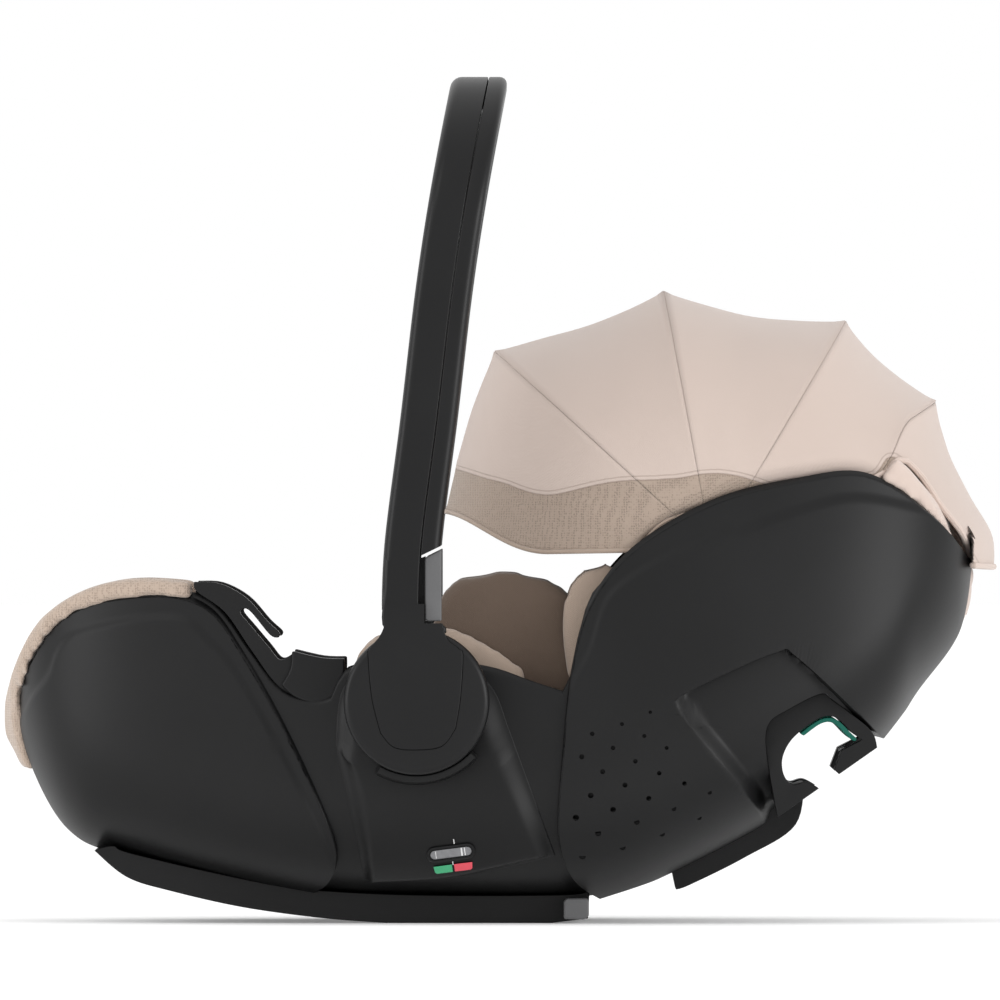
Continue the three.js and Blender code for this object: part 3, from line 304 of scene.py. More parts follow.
def filled(obj):
    """Closes the open ends of obj."""
    only(obj)
    bpy.ops.object.mode_set(mode="EDIT")
    bpy.ops.mesh.select_all(action="SELECT")
    bpy.ops.mesh.fill_holes(sides=0)
    bpy.ops.mesh.normals_make_consistent(inside=False)
    bpy.ops.object.mode_set(mode="OBJECT")
    obj.select_set(False)
    return obj


def finish_mesh(obj, name, smooth_angle=40.0, outward=True):
    """Merges doubles, turns the faces outwards and shades the piece."""
    obj.name = obj.data.name = name
    only(obj)
    bpy.ops.object.transform_apply(location=True, rotation=True, scale=True)
    bpy.ops.object.mode_set(mode="EDIT")
    bpy.ops.mesh.select_all(action="SELECT")
    bpy.ops.mesh.remove_doubles(threshold=MERGE_DISTANCE)
    if outward:
        bpy.ops.mesh.normals_make_consistent(inside=False)
    bpy.ops.object.mode_set(mode="OBJECT")
    if smooth_angle:
        shaded(obj, smooth_angle)
    obj.select_set(False)
    return obj


def grid(name, columns, rows, place, **finish):
    """A sheet of columns by rows cells whose points go where place(u, v) says, in mm."""
    bpy.ops.mesh.primitive_grid_add(x_subdivisions=columns, y_subdivisions=rows, size=2)
    obj = bpy.context.object
    for v in obj.data.vertices:
        v.co = Vector(place((v.co.x + 1) / 2, (v.co.y + 1) / 2)) * MM
    return finish_mesh(obj, name, **finish)


def apply_modifier(obj, kind, **settings):
    only(obj)
    made = obj.modifiers.new(kind.lower(), kind)
    for key, value in settings.items():
        setattr(made, key, value)
    bpy.ops.object.modifier_apply(modifier=made.name)
    obj.select_set(False)
    return obj


def bevelled(obj, width, segments=3, angle=35.0):
    return apply_modifier(
        obj,
        "BEVEL",
        width=width * MM,
        segments=segments,
        limit_method="ANGLE",
        angle_limit=math.radians(angle),
        harden_normals=False,
    )


def cut(obj, tool, operation="DIFFERENCE"):
    """Cuts obj with tool and drops the tool."""
    apply_modifier(obj, "BOOLEAN", object=tool, operation=operation, solver="MANIFOLD")
    bpy.data.objects.remove(tool)
    return obj


def oblong(x0, z0, x1, z1):
    return [(x0, z0), (x1, z0), (x1, z1), (x0, z1)]


def plate(name, points, y0, y1, edge=0.0, segments=3, angle=35.0):
    """A side-view outline, extruded across from y0 to y1, with rounded edges."""
    bpy.ops.mesh.primitive_circle_add(vertices=len(points), fill_type="NGON")
    obj = bpy.context.object
    for v, (x, z) in zip(obj.data.vertices, points):
        v.co = Vector((x, y0, z)) * MM
    bpy.ops.object.mode_set(mode="EDIT")
    bpy.ops.mesh.select_all(action="SELECT")
    bpy.ops.mesh.extrude_region_move(TRANSFORM_OT_translate={"value": (0, (y1 - y0) * MM, 0)})
    bpy.ops.object.mode_set(mode="OBJECT")
    finish_mesh(obj, name)
    if edge:
        shaded(bevelled(obj, edge, segments, angle), 40)
    return obj


def tube(name, points, radius, sides):
    """A round rod along points in mm, capped at both ends."""
    last = len(points) - 1
    line = [Vector(p) for p in points]
    up = Vector((0.02, 1, 0.01)).normalized()
    frames = []
    for i, p in enumerate(line):
        along = (line[min(i + 1, last)] - line[max(i - 1, 0)]).normalized()
        across = along.cross(up)
        if across.length < 1e-3:
            across = along.cross(Vector((0, 0, 1)))
        across.normalize()
        up = across.cross(along).normalized()
        frames.append((p, across, up.copy()))

    def place(u, v):
        p, across, over = frames[round(u * last)]
        turn = 2 * math.pi * v
        return p + across * radius * math.cos(turn) + over * radius * math.sin(turn)

    return filled(grid(name, last, sides, place))


def joined(name, parts):
    bpy.ops.object.select_all(action="DESELECT")
    for part in parts:
        part.select_set(True)
    bpy.context.view_layer.objects.active = parts[0]
    if len(parts) > 1:
        bpy.ops.object.join()
    obj = bpy.context.object
    obj.name = obj.data.name = name
    obj.select_set(False)
    return obj


def mirrored(obj, name):
    """A copy on the other side of the middle plane, with its own mesh."""
    twin = obj.copy()
    twin.data = obj.data.copy()
    bpy.context.collection.objects.link(twin)
    twin.data.transform(Matrix.Scale(-1, 4, Vector((0, 1, 0))))
    twin.data.flip_normals()
    twin.name = twin.data.name = name
    return twin


def along_ray(centre, toward, polygon):
    """Where the ray from the centre towards a point leaves a polygon, as a share of the way."""
    dx, dz = toward[0] - centre[0], toward[1] - centre[1]
    best = 0.0
    for (x0, z0), (x1, z1) in zip(polygon, polygon[1:] + polygon[:1]):
        ex, ez = x1 - x0, z1 - z0
        cross = dx * ez - dz * ex
        if abs(cross) < 1e-9:
            continue
        share = ((x0 - centre[0]) * ez - (z0 - centre[1]) * ex) / cross
        along = ((x0 - centre[0]) * dz - (z0 - centre[1]) * dx) / cross
        if share > 0 and -1e-9 <= along <= 1 + 1e-9:
            best = max(best, min(1.0, share))
    return best


INNER_SHARE = 0.94  # an inner outline never reaches the skin's edge
RING_CROWDING = 1.35  # over 1, the rings lie closer together near each outline


def patch(name, stages, out, around, centre, wall=3.0, edge=1.2):
    """A moulded skin on the hull's right side, made of rings from its centre outwards.

    Each stage is an outline seen from the side and the rings up to it, so that a crease can
    lie on a ring. out(x, z, rim) is the height above the hull at the distance rim from the edge.
    """
    line = evenly(stages[-1][0], around)
    core_place = hull_at(*centre)
    core = Vector(hull(*core_place))
    ends = []
    for points, _ in stages[:-1]:
        shares = [min(INNER_SHARE, along_ray(centre, p, points)) for p in line]
        spots = [
            (mix(centre[0], p[0], share), mix(centre[1], p[1], share))
            for p, share in zip(line, shares)
        ]
        ends.append([hull_at(x, z) for x, z in spots])
    ends.append(on_side(line))
    reach = [max(6.0, (Vector(hull(a, b)) - core).length) for a, b in ends[-1]]
    rings = [(0, 0.0)]
    for index, (_, count) in enumerate(stages):
        for step in range(1, count + 1):
            rings.append((index, 1 - (1 - step / count) ** RING_CROWDING))
    rows = len(rings)
    edge_rows = 3

    def spot(i, ring):
        index, share = ring
        start = ends[index - 1][i] if index else core_place
        return mix(start[0], ends[index][i][0], share), mix(start[1], ends[index][i][1], share)

    def place(u, v):
        i = round(u * around) % around
        row = round(v * (2 * rows + edge_rows - 2))
        sink = 0.0
        if row >= rows + edge_rows - 1:
            row, sink = 2 * rows + edge_rows - 2 - row, wall
        elif row >= rows - 1:
            sink = edge * (0.0, 0.3, 1.0, 1.0)[row - rows + 1]
            tight = 1 - edge / reach[i] * (1.0, 0.3, 0.0, 0.0)[row - rows + 1]
            a, b = spot(i, rings[-1])
            a, b = mix(core_place[0], a, tight), mix(core_place[1], b, tight)
            x, _, z = hull(a, b)
            return hull(a, b, out(x, z, 0.0) - sink)
        a, b = spot(i, rings[row])
        x, y, z = hull(a, b)
        rim = (Vector((x, y, z)) - Vector(hull(*ends[-1][i]))).length
        return hull(a, b, out(x, z, rim) - sink)

    return grid(name, around, 2 * rows + edge_rows - 2, place)


# ---------------------------------------------------------------- side covers
BELLY_FRONT = [(-133, 17.5), (-207, 32.5), (-275, 51), (-292, 59.5)]
FRONT_COVER = outline(
    [(-292, 59.5), (-320, 104), (-329.5, 131), (-319, 174), (-290, 209), (-236, 220.5)]
    + [(-199, 212), (-174, 180), (-142, 123), (-113, 56), (-115, 30), (-133, 17.5)],
    BELLY_FRONT,
)
REAR_COVER = outline(
    [(66, 17), (48, 31), (38, 60), (41, 115), (47, 170), (60, 215), (90, 252), (144, 283)]
    + [(200, 297), (246, 301), (288, 277), (312, 250), (319, 224), (308, 190), (282, 157)]
    + [(253, 119)],
    [(253, 119), (186, 72)],
    [(186, 72), (150, 51), (113, 33), (66, 17)],
)
FRONT_BULGE = spline(
    [(-345, 60), (-331, 120), (-319, 150), (-306, 167), (-299, 185), (-288, 196), (-259, 204)]
    + [(-240, 207), (-213, 206), (-197, 191.5), (-180, 172), (-146, 112), (-106, 30)],
    6,
)
REAR_BULGE = spline(
    [(52, 20), (33, 60), (40, 130), (48, 163), (59.5, 186), (71, 220), (95, 240), (125, 255)]
    + [(152, 266), (162, 265), (190, 276), (240, 288), (300, 275)],
    6,
)
POCKET = outline(
    [(118, 149), (122, 156), (183, 184), (200, 180), (252, 131), (262, 122)],
    [(262, 122), (262, 100)],
    [(262, 100), (180, 50)],
    [(180, 50), (181, 62), (165, 88), (124, 138), (118, 149)],
)
GUIDE_TRIM = outline(
    [(186, 72), (178.5, 115), (180, 135), (194, 145), (215, 155), (224, 150), (248, 131)]
    + [(253, 119)],
    [(253, 119), (186, 72)],
)
GUIDE_OPENING = outline(
    [(219, 88), (206, 95.5), (196, 94), (190, 101), (189.5, 113), (197, 126), (214, 138.5)]
    + [(225, 139), (236, 129), (243, 124)],
    [(243, 124), (229, 117)],
    [(229, 117), (224, 104)],
    [(224, 104), (250, 80)],
    [(250, 80), (219, 88)],
)
VENTS = (
    [(100, 143)],
    [(81, 135), (96, 127), (111, 119)],
    [(61, 128.5), (75, 119), (90, 110), (106, 102), (123, 95), (140, 89)],
    [(54, 113), (68, 103), (83, 94), (99, 85), (116, 78), (133, 72)],
    [(60, 87), (75, 77.5), (91, 69), (108, 61)],
    [(50, 72), (65, 61.5), (81.5, 52)],
    [(54.5, 46)],
)
COVER_BAND = 1.7
FRONT_STEP, REAR_STEP, POCKET_EDGE = Line(FRONT_BULGE), Line(REAR_BULGE), Line(POCKET, True)
POCKET_DEPTH, POCKET_WALL = 7.2, 6.5


def pocket_depth(x, z, early=0.0):
    return POCKET_DEPTH * smooth(POCKET_EDGE.right_of(x, z) + early, -0.6, POCKET_WALL)


def front_cover():
    def out(x, z, rim):
        return COVER_BAND * smooth(FRONT_STEP.right_of(x, z), -2.2, 2.2) - 0.4

    return patch("front_cover_right", [(FRONT_COVER, 48)], out, 220, (-215, 110))


def rear_cover():
    def out(x, z, rim):
        rise = COVER_BAND * smooth(REAR_STEP.right_of(x, z), -2.2, 2.2)
        return rise - 0.4 - pocket_depth(x, z)

    cover = patch("rear_cover_right", [(POCKET, 24), (REAR_COVER, 46)], out, 300, (186, 124))
    trim = plate("trim_cutter", grown(GUIDE_TRIM, 0.3), 60, 260)
    cut(cover, trim)
    drills = []
    for row, holes in enumerate(VENTS):
        for x, z in holes:
            y = side_y(x, z)
            bpy.ops.mesh.primitive_cylinder_add(
                vertices=16,
                radius=(1.15 + 0.19 * row) * MM,
                depth=5 * MM,
                location=(x * MM, y * MM, z * MM),
                rotation=(math.pi / 2, 0, 0),
            )
            drills.append(finish_mesh(bpy.context.object, "drill"))
    cut(cover, joined("drills", drills))
    return finish_mesh(cover, "rear_cover_right", outward=False)


def grown(points, by):
    """An outline pushed away from its own middle."""
    cx = sum(p[0] for p in points) / len(points)
    cz = sum(p[1] for p in points) / len(points)
    out = []
    for x, z in points:
        far = math.hypot(x - cx, z - cz)
        out.append((x + (x - cx) * by / far, z + (z - cz) * by / far))
    return out


def belt_guide():
    body = plate("belt_guide_right", grown(GUIDE_TRIM, 0.1), 100, 150.5)
    cut(body, plate("opening_cutter", GUIDE_OPENING, 60, 240))
    bevelled(body, 2.6, 4, 28)
    return finish_mesh(body, "belt_guide_right", 45)


def guide_lining():
    strip = outline(
        [(201, 128.4), (214, 137.6), (225, 138.1), (235, 128.9), (239, 124.8), (237, 123.4)]
        + [(232.5, 126.8), (223.5, 135.3), (215, 135), (203.5, 126.8)],
        [(203.5, 126.8), (201, 128.4)],
        steps=4,
    )
    return plate("guide_lining_right", strip, 103, 151.4, 0.7, 2)


# ---------------------------------------------------------------- outer shell
SHELL_RIM = table(
    spline(
        [(-345, 136), (-330, 136), (-317, 172), (-288, 206), (-236, 216), (-205, 216)]
        + [(-188, 204), (-170, 178), (-151, 153), (-128, 144), (-112, 149), (-105, 165)]
        + [(-57, 172), (-10, 167), (20, 157), (43.6, 149.5)],
        6,
    )
    + spline(
        [(44, 150), (52, 190), (66, 222), (112, 238), (232, 238), (250, 282), (262, 285)]
        + [(288, 266), (306, 248), (345, 236)],
        6,
    )
)
SHELL_DEPTH, SHELL_WALL = 3.4, 3.0


def seat_shell():
    """The outer shell: its section runs up the inside, over the rolled rim and down the outside."""
    columns, inside_rows, lip, rows = 200, 20, 6, 64
    half = inside_rows + lip + rows

    def place(u, v):
        level, side = round(v * 2 * half), 1
        if level > half:
            level, side = 2 * half - level, -1
        a = u if 0 < round(u * columns) < columns else float(round(u))
        x = HULL_MIDDLE + HULL_HALF * math.sin(math.pi * (a - 0.5))
        top = hull_at(x, SHELL_RIM(x))[1]
        if level <= inside_rows:
            share, depth, up = level / inside_rows, SHELL_DEPTH + SHELL_WALL, 0.0
        elif level < inside_rows + lip:
            turn = math.pi * (level - inside_rows) / lip
            share = 1.0
            depth = SHELL_DEPTH + SHELL_WALL / 2 * (1 + math.cos(turn))
            up = SHELL_WALL / 2 * math.sin(turn)
        else:
            share, depth, up = (half - level) / rows, SHELL_DEPTH, 0.0
        px, _, pz = hull(a, top * share)
        depth += 1.3 * pocket_depth(px, pz, 4.0) if px > 100 else 0.0
        x, y, z = hull(a, top * share, -depth)
        return x, side * y, z + up

    shell = grid("seat_shell", columns, 2 * half, place)
    for side in (-1, 1):
        cut(shell, plate("trim_cutter", grown(GUIDE_TRIM, 1.4), side * 90, side * 260))
    cut(shell, plate("slot_cutter", GUIDE_OPENING, -260, 260))
    return finish_mesh(shell, "seat_shell", outward=False)


# ---------------------------------------------------------------- handle mount and hub
HUB_RADIUS, HUB_INNER, HUB_FACE = 49.0, 190.0, 219.6
# The tongue's edges as (height, aside) from the pivot.
TONGUE_LEFT = [(62, -20.6), (52, -21.6), (44, -25), (36, -31.5), (30, -32.4), (2.3, -29.8)]
TONGUE_LEFT += [(-21, -24)]
TONGUE_RIGHT = [(62, 17), (52, 17.6), (42, 21), (36, 28), (31, 31), (2.3, 29.3), (-18, 26)]


def hub_seat():
    """The raised panel on the shell, with the drum and the lip that carry the hub."""
    panel = outline(
        [(-92, 26), (-112, 118)],
        [(-112, 118), (-104, 160), (-57, 170), (-12, 162), (5, 128)],
        [(5, 128), (36, 43)],
        [(36, 43), (-28, 29), (-92, 26)],
    )

    def out(x, z, rim):
        return -2.9 + 5.9 * smooth(rim, 0, 15)

    body = patch("hub_panel", [(panel, 40)], out, 200, (-45, 95), wall=2.4, edge=0.5)
    drum = lathe("drum", [(8.5, 150), (45, 150), (45, 188.4), (44, 189.5), (8.5, 189.5)], 64)
    parts = [body, drum, hub_lip()]
    return finish_mesh(joined("hub_seat_right", parts), "hub_seat_right", outward=False)


def hub_lip():
    """A crescent under the hub that fades into the panel."""
    start, end = math.radians(-121), math.radians(-41.5)
    inner = 49.5
    profile = [(inner, 176), (inner, 203), (50.1, 203.6), (53.0, 203.6)]
    profile += [(54.2, 202.8), (54.9, 200), (56.2, 176)]

    def place(u, v):
        turn = mix(start, end, u)
        fade = min(1.0, 30 * min(u, 1 - u) + 0.72)
        r, y = profile[round(v * (len(profile) - 1))]
        r = inner + (r - inner) * fade
        x, z = PIVOT[0] + r * math.cos(turn), PIVOT[1] + r * math.sin(turn)
        return x, min(y, mix(side_y(x, z) - 2, y, fade)), z

    return filled(grid("lip", 40, len(profile) - 1, place))


def lathe(name, profile, around, centre=PIVOT, smooth_angle=35):
    """A profile of (radius, y) turned about the Y axis through centre; its two ends close."""
    rows = len(profile) - 1

    def place(u, v):
        r, y = profile[round(v * rows)]
        turn = 2 * math.pi * u
        return centre[0] + r * math.cos(turn), y, centre[1] + r * math.sin(turn)

    body = grid(name, around, rows, place, smooth_angle=smooth_angle)
    only(body)
    bpy.ops.object.mode_set(mode="EDIT")
    bpy.ops.mesh.select_all(action="DESELECT")
    bpy.ops.mesh.select_non_manifold()
    if math.dist(profile[0], profile[-1]) > 1e-6 and profile[0][0] == profile[-1][0]:
        bpy.ops.mesh.bridge_edge_loops()
    else:
        bpy.ops.mesh.fill_holes(sides=0)
    bpy.ops.mesh.select_all(action="SELECT")
    bpy.ops.mesh.normals_make_consistent(inside=False)
    bpy.ops.object.mode_set(mode="OBJECT")
    body.select_set(False)
    return body


def rounded_profile(corners, radius, steps=4):
    """Corners (r, y, rounded?) of a lathe profile with some of them rounded."""
    out = []
    for i, (r, y, soft) in enumerate(corners):
        if not soft:
            out.append((r, y))
            continue
        here = Vector((r, y))
        before = (Vector(corners[i - 1][:2]) - here).normalized() * radius
        after = (Vector(corners[i + 1][:2]) - here).normalized() * radius
        for j in range(steps + 1):
            t = j / steps
            p = here + before * (1 - t) ** 2 + after * t**2
            out.append((p.x, p.y))
    return out


def tongue_outline(by=0.0, top=70.0):
    left = [(x - by, z) for z, x in TONGUE_LEFT]
    right = [(x + by, z) for z, x in TONGUE_RIGHT]
    foot = [(left[-1][0], left[-1][1]), (-15.3, -30.2 - by), (0, -32 - by), (17, -29.5 - by)]
    foot.append(right[-1])
    path = [(left[0][0], top)] + left[:1]
    points = outline(path, left, foot, right[::-1], [right[0], (right[0][0], top)])
    return [(PIVOT[0] + x, PIVOT[1] + z) for x, z in points]


def hub_cover():
    corners = [(8.35, HUB_INNER, False), (HUB_RADIUS, HUB_INNER, False)]
    corners += [(HUB_RADIUS, HUB_FACE, True), (8.35, HUB_FACE, False)]
    cover = lathe("hub_cover_right", rounded_profile(corners, 5.5, 6), 120)
    cut(cover, plate("tongue_cutter", tongue_outline(0.45), 216, 240))
    return finish_mesh(cover, "hub_cover_right", 30)


# ---------------------------------------------------------------- carry handle
ARM_LINE = table(
    spline([(195, -61), (254, -59.3), (341, -48.4), (427, -38.3), (496, -27.8), (571, -13.8)], 10)
)
ARM_Y, BEND, BAR_TOP = 209.0, 94.0, 560.0
FRONT_EDGE, SEAM_EDGE, REAR_EDGE = -19.5, 5.0, 18.5
BAR_HALF, BAR_STEP = 11.0, 7


def bar_path(bottom):
    """Stations (y, z, turn) up one arm, round both corners and down the other."""
    rise = max(2, round((BAR_TOP - BEND - bottom) / BAR_STEP))
    half = [(ARM_Y, mix(bottom, BAR_TOP - BEND, i / rise), 0.0) for i in range(rise)]
    for i in range(17):
        turn = math.pi / 2 * i / 16
        y = ARM_Y - BEND + BEND * math.cos(turn)
        half.append((y, BAR_TOP - BEND + BEND * math.sin(turn), turn))
    half += [(mix(ARM_Y - BEND, 0, i / 12), BAR_TOP, math.pi / 2) for i in range(1, 12)]
    return half + [(0.0, BAR_TOP, math.pi / 2)] + [(-y, z, math.pi - t) for y, z, t in half[::-1]]


def ringed(name, rings, angle=40):
    """A closed body through rings of points."""
    last, sides = len(rings) - 1, len(rings[0])

    def place(u, v):
        return rings[round(u * last)][round(v * sides) % sides]

    return shaded(filled(grid(name, last, sides, place)), angle)


def bar(name, bottom, section):
    """A handle shell whose section is a ring of (along, outwards) points."""
    rings = []
    for y, z, turn in bar_path(bottom):
        ring = []
        for u, v in section:
            pz = z + v * math.sin(turn)
            ring.append((ARM_LINE(pz) + u, y + v * math.cos(turn), pz))
        rings.append(ring)
    return ringed(name, rings)


def rounded_section(u0, u1, v0, v1, soft0, soft1, steps=5):
    """A rectangle in (u, v) with rounded corners: soft0 at the u0 side and soft1 at u1."""
    ring = []
    for cu, cv, r, start in (
        (u1 - soft1, v1 - soft1, soft1, 0),
        (u0 + soft0, v1 - soft0, soft0, 90),
        (u0 + soft0, v0 + soft0, soft0, 180),
        (u1 - soft1, v0 + soft1, soft1, 270),
    ):
        for i in range(steps + 1):
            turn = math.radians(start + 90 * i / steps)
            ring.append((cu + r * math.cos(turn), cv + r * math.sin(turn)))
    return ring


def handle_front():
    """The front shell of the bar, which widens into the plate over each hub."""
    section = rounded_section(FRONT_EDGE, SEAM_EDGE, -BAR_HALF, BAR_HALF, 6.5, 0.9)
    body = bar("handle_front", 212, section)
    bay_wall = [(-60, 203.2), (-51.9, 203.2), (-51.9, 247.2), (-60, 244)]
    added = []
    for side in (-1, 1):
        tongue = plate("tongue", tongue_outline(0, 66), side * 216.35, side * 220.0)
        added.append(bevelled(tongue, 0.5, 2, 40))
        neck = plate("neck", neck_outline(), side * 198.2, side * 219.95)
        added.append(bevelled(neck, 2.2, 4, 35))
        added.append(plate("bay_wall", bay_wall, side * 198.3, side * 201.0))
    for part in added:
        cut(body, part, "UNION")
    for side in (-1, 1):
        bay = plate("bay_cutter", oblong(-51.8, 202.8, -30, 262), side * 196, side * 232)
        cut(body, bay)
    return finish_mesh(body, "handle_front", 35)


def neck_outline():
    """The thick part between the bar and the hub, clear of the hub cover and the button."""
    points = []
    for i in range(13):
        turn = math.radians(mix(113, 66, i / 12))
        points.append((PIVOT[0] + 50 * math.cos(turn), PIVOT[1] + 50 * math.sin(turn)))
    right = [(-37.4, 201.0), (-42, 202.4), (-50.4, 203.2), (-55.6, 204.5), (-56.0, 246.6)]
    left = [(-77.4, 246), (-78.4, 225), (-80.0, 213), (-80.4, 207), (-80.0, 202)]
    return points + right + left


def handle_rear():
    section = rounded_section(SEAM_EDGE + 0.5, REAR_EDGE, -BAR_HALF, BAR_HALF, 0.9, 6.0)
    body = bar("handle_rear", 243, section)
    slope = [(-64, 236), (-30, 236), (-30, 259.9), (-64, 243.4)]
    for side in (-1, 1):
        cut(body, plate("end_cutter", slope, side * 180, side * 240))
    return finish_mesh(body, "handle_rear", 35)


def release_button(side):
    x0, x1 = PIVOT[0] + 5.6, PIVOT[0] + 16.8
    face = [(x0, 205.4), (x0 + 1.6, 204), (x1, 204.4)]
    face += [(x1, 252.6), (x0 + 1.2, 247.6), (x0, 246.4)]
    return plate("release_button_" + side[0], face, side[1] * 201.4, side[1] * 216.6, 1.5, 4)


# ---------------------------------------------------------------- level indicator
LEVEL_X, LEVEL_Z, LEVEL_TILT = -34.0, 48.0, 0.13


def tilted(points):
    """Points about the window's middle, turned with the window and put in place."""
    c, s = math.cos(LEVEL_TILT), math.sin(LEVEL_TILT)
    return [(LEVEL_X + x * c - z * s, LEVEL_Z + x * s + z * c) for x, z in points]


def level_window(half_length, half_height):
    run = half_length - half_height
    points = []
    for centre, start in ((run, -90), (-run, 90)):
        for i in range(9):
            turn = math.radians(start + 180 * i / 8)
            points.append((centre + half_height * math.cos(turn), half_height * math.sin(turn)))
    return tilted(points)


def level_frame(points, name, low, high, edge=0.5):
    """A small plaque on the side panel, between two heights above the hull."""
    y = side_y(LEVEL_X, LEVEL_Z)
    piece = plate(name, points, -(y + low), -(y + high), edge, 2)
    for v in piece.data.vertices:
        x, z = v.co.x / MM, v.co.z / MM
        slant = math.hypot(1, (side_y(x, z + 1) - side_y(x, z - 1)) / 2)
        v.co.y = -(side_y(x, z) + (-v.co.y / MM - y) * slant) * MM
    return piece


# Each tick's middle along and across the window, its width, height and outer face.
LEVEL_TICKS = ((3.0, 7.6, 0.55, 3.2, 4.7), (0.4, -6.9, 0.5, 2.4, 4.8), (7.3, 0, 1.0, 5.4, 5.0))
LEVEL_TICKS += ((9.4, 0, 0.6, 5.2, 5.0), (-10.2, 0, 0.45, 4.8, 5.0))


def level_indicator():
    bezel = level_frame(level_window(16.5, 5.3), "level_bezel", 0.6, 5.4, 0.9)
    cut(bezel, level_frame(level_window(14.6, 3.5), "slot", 4.3, 9, 0.0))
    finish_mesh(bezel, "level_bezel", 35, outward=False)
    capsule = level_frame(level_window(14.0, 3.0), "level_float_capsule", 1.5, 4.8, 0.3)
    finish_mesh(capsule, "level_float_capsule", 35, outward=False)
    ticks = []
    for x, z, w, h, high in LEVEL_TICKS:
        bounds = oblong(x - w / 2, z - h / 2, x + w / 2, z + h / 2)
        ticks.append(level_frame(tilted(bounds), "tick", 1, high, 0.0))
    half = [(-6.2, 2.4), (-5.6, -1.8), (-4.2, -2.6), (6.3, -2.6), (6.3, 2.5)]
    green = tilted([(x - 6.7, z - 10.2) for x, z in half])
    red = tilted([(7.3 - x, z - 10.2) for x, z in half[::-1]])
    return (
        bezel,
        capsule,
        joined("level_ticks", ticks),
        level_frame(green, "level_mark_green", 1, 4.7, 0.25),
        level_frame(red, "level_mark_red", 1, 4.7, 0.25),
    )


# ---------------------------------------------------------------- small hard pieces
def rocker_base():
    sole = outline(
        [(-275, 49), (-253, 31), (-223, 21.5), (-174, 10.5), (-120, 3.2), (-78, 0)],
        [(-78, 0), (34, 0)],
        [(34, 0), (58.5, 3)],
        [(58.5, 3), (59.5, 22)],
        [(59.5, 22), (40, 19), (-60, 19), (-133, 23), (-180, 31), (-250, 47), (-262, 52)]
        + [(-275, 49)],
    )
    base = plate("rocker_base", sole, -96, 96, 4.5, 4, 30)
    groove = [(-225, 13), (-180, 3), (-120, -5), (34, -5), (34, -1.0)]
    groove += [(-80, 2.2), (-120, 5.4), (-176, 13.5), (-222, 24)]
    for side in (-1, 1):
        cut(base, plate("groove_cutter", groove, side * 60, side * 66))
    return finish_mesh(base, "rocker_base", 35, outward=False)


def heel_foot():
    block = [(42, 3), (56, 2.6), (59, 5), (59, 16), (57, 17), (44, 17), (42, 15)]
    return plate("heel_foot_right", block, 96.6, 121.6, 2.2, 4, 40)


HOOK = outline(
    [(-207, 230.5), (-190, 229.5), (-172, 220), (-157.5, 204), (-149.5, 196.5), (-150, 193)],
    [(-150, 193), (-156, 195), (-170, 211.5), (-176, 210), (-168, 200), (-157, 187)]
    + [(-149, 178), (-141, 182)],
    [(-141, 182), (-121, 178), (-106.5, 178)],
    [(-106.5, 178), (-107, 168), (-113, 154), (-127, 149), (-149, 159), (-168, 184)]
    + [(-186, 210), (-205, 224), (-207, 230.5)],
    steps=5,
)


def belt_hook():
    hook = plate("hook", HOOK, 131.6, 158.4, 4.0, 6, 30)
    saddle = outline(
        [(-141, 184), (-121, 179.5), (-105.5, 179)],
        [(-105.5, 179), (-106, 168), (-112, 154), (-124, 148.5), (-139, 153), (-148, 161)],
        [(-148, 161), (-142, 172), (-141, 184)],
        steps=5,
    )
    block = plate("saddle", saddle, 129, 163.5, 5.0, 6, 30)
    return finish_mesh(joined("belt_hook_right", [hook, block]), "belt_hook_right", 50, False)


def back_panel():
    side = outline(
        [(118, 22), (128, 25.5), (165, 44), (199, 66), (205, 100)],
        [(205, 100), (110, 60)],
        [(110, 60), (118, 22)],
    )
    panel = plate("back_panel", side, -57.6, 57.6, 3.0, 4, 30)
    cut(panel, plate("slot_cutter", grown(GUIDE_OPENING, 1.0), -260, 260))
    return finish_mesh(panel, "back_panel", 30, outward=False)


# ---------------------------------------------------------------- canopy
HOOP_POWER, CLOTH_HALF_WIDTH, CLOTH = 2.6, 171.0, 1.2
BOWS = {
    "front": (169.0, 182.0, 160.0),
    "high": (137.5, 198.0, 154.0),
    "top": (100.3, 177.0, 148.0),
    "back": (59.3, 179.0, 142.0),
    "rear": (33.2, 182.5, 136.0),
}
BAND_EDGE = [(-30, 230), (-4.4, 181), (9, 155), (26.8, 138), (24.5, 119), (30, 92), (39.5, 64)]
BAND_EDGE += [(59.3, 54), (97.7, 51), (120.3, 55), (140, 72), (160.5, 110.7), (162.4, 150)]
BAND_EDGE += [(162.6, 179), (162.6, 260)]
FLAP = [(33.0, 182.3, 110), (28, 177, 138), (20.3, 174.5, 149), (11.2, 180, 157), (3.5, 190.6, 170)]
FLAP += [(-0.6, 192.6, 174), (-3.6, 192.6, 178)]


def hoop(degrees, reach, half, turn, aside=0.0):
    r = reach * max(0.0, math.sin(turn)) ** (2 / HOOP_POWER)
    y = math.copysign(half * abs(math.cos(turn)) ** (2 / HOOP_POWER), math.cos(turn))
    phi = math.radians(degrees)
    x = CANOPY_PIVOT[0] + r * math.cos(phi) - aside * math.sin(phi)
    return x, y, CANOPY_PIVOT[1] + r * math.sin(phi) + aside * math.cos(phi)


def flat_fan(degrees, r):
    """The cloth's side face laid flat, in mm, so that distances on it are true."""
    phi = math.radians(degrees)
    return r * math.cos(phi), r * math.sin(phi)


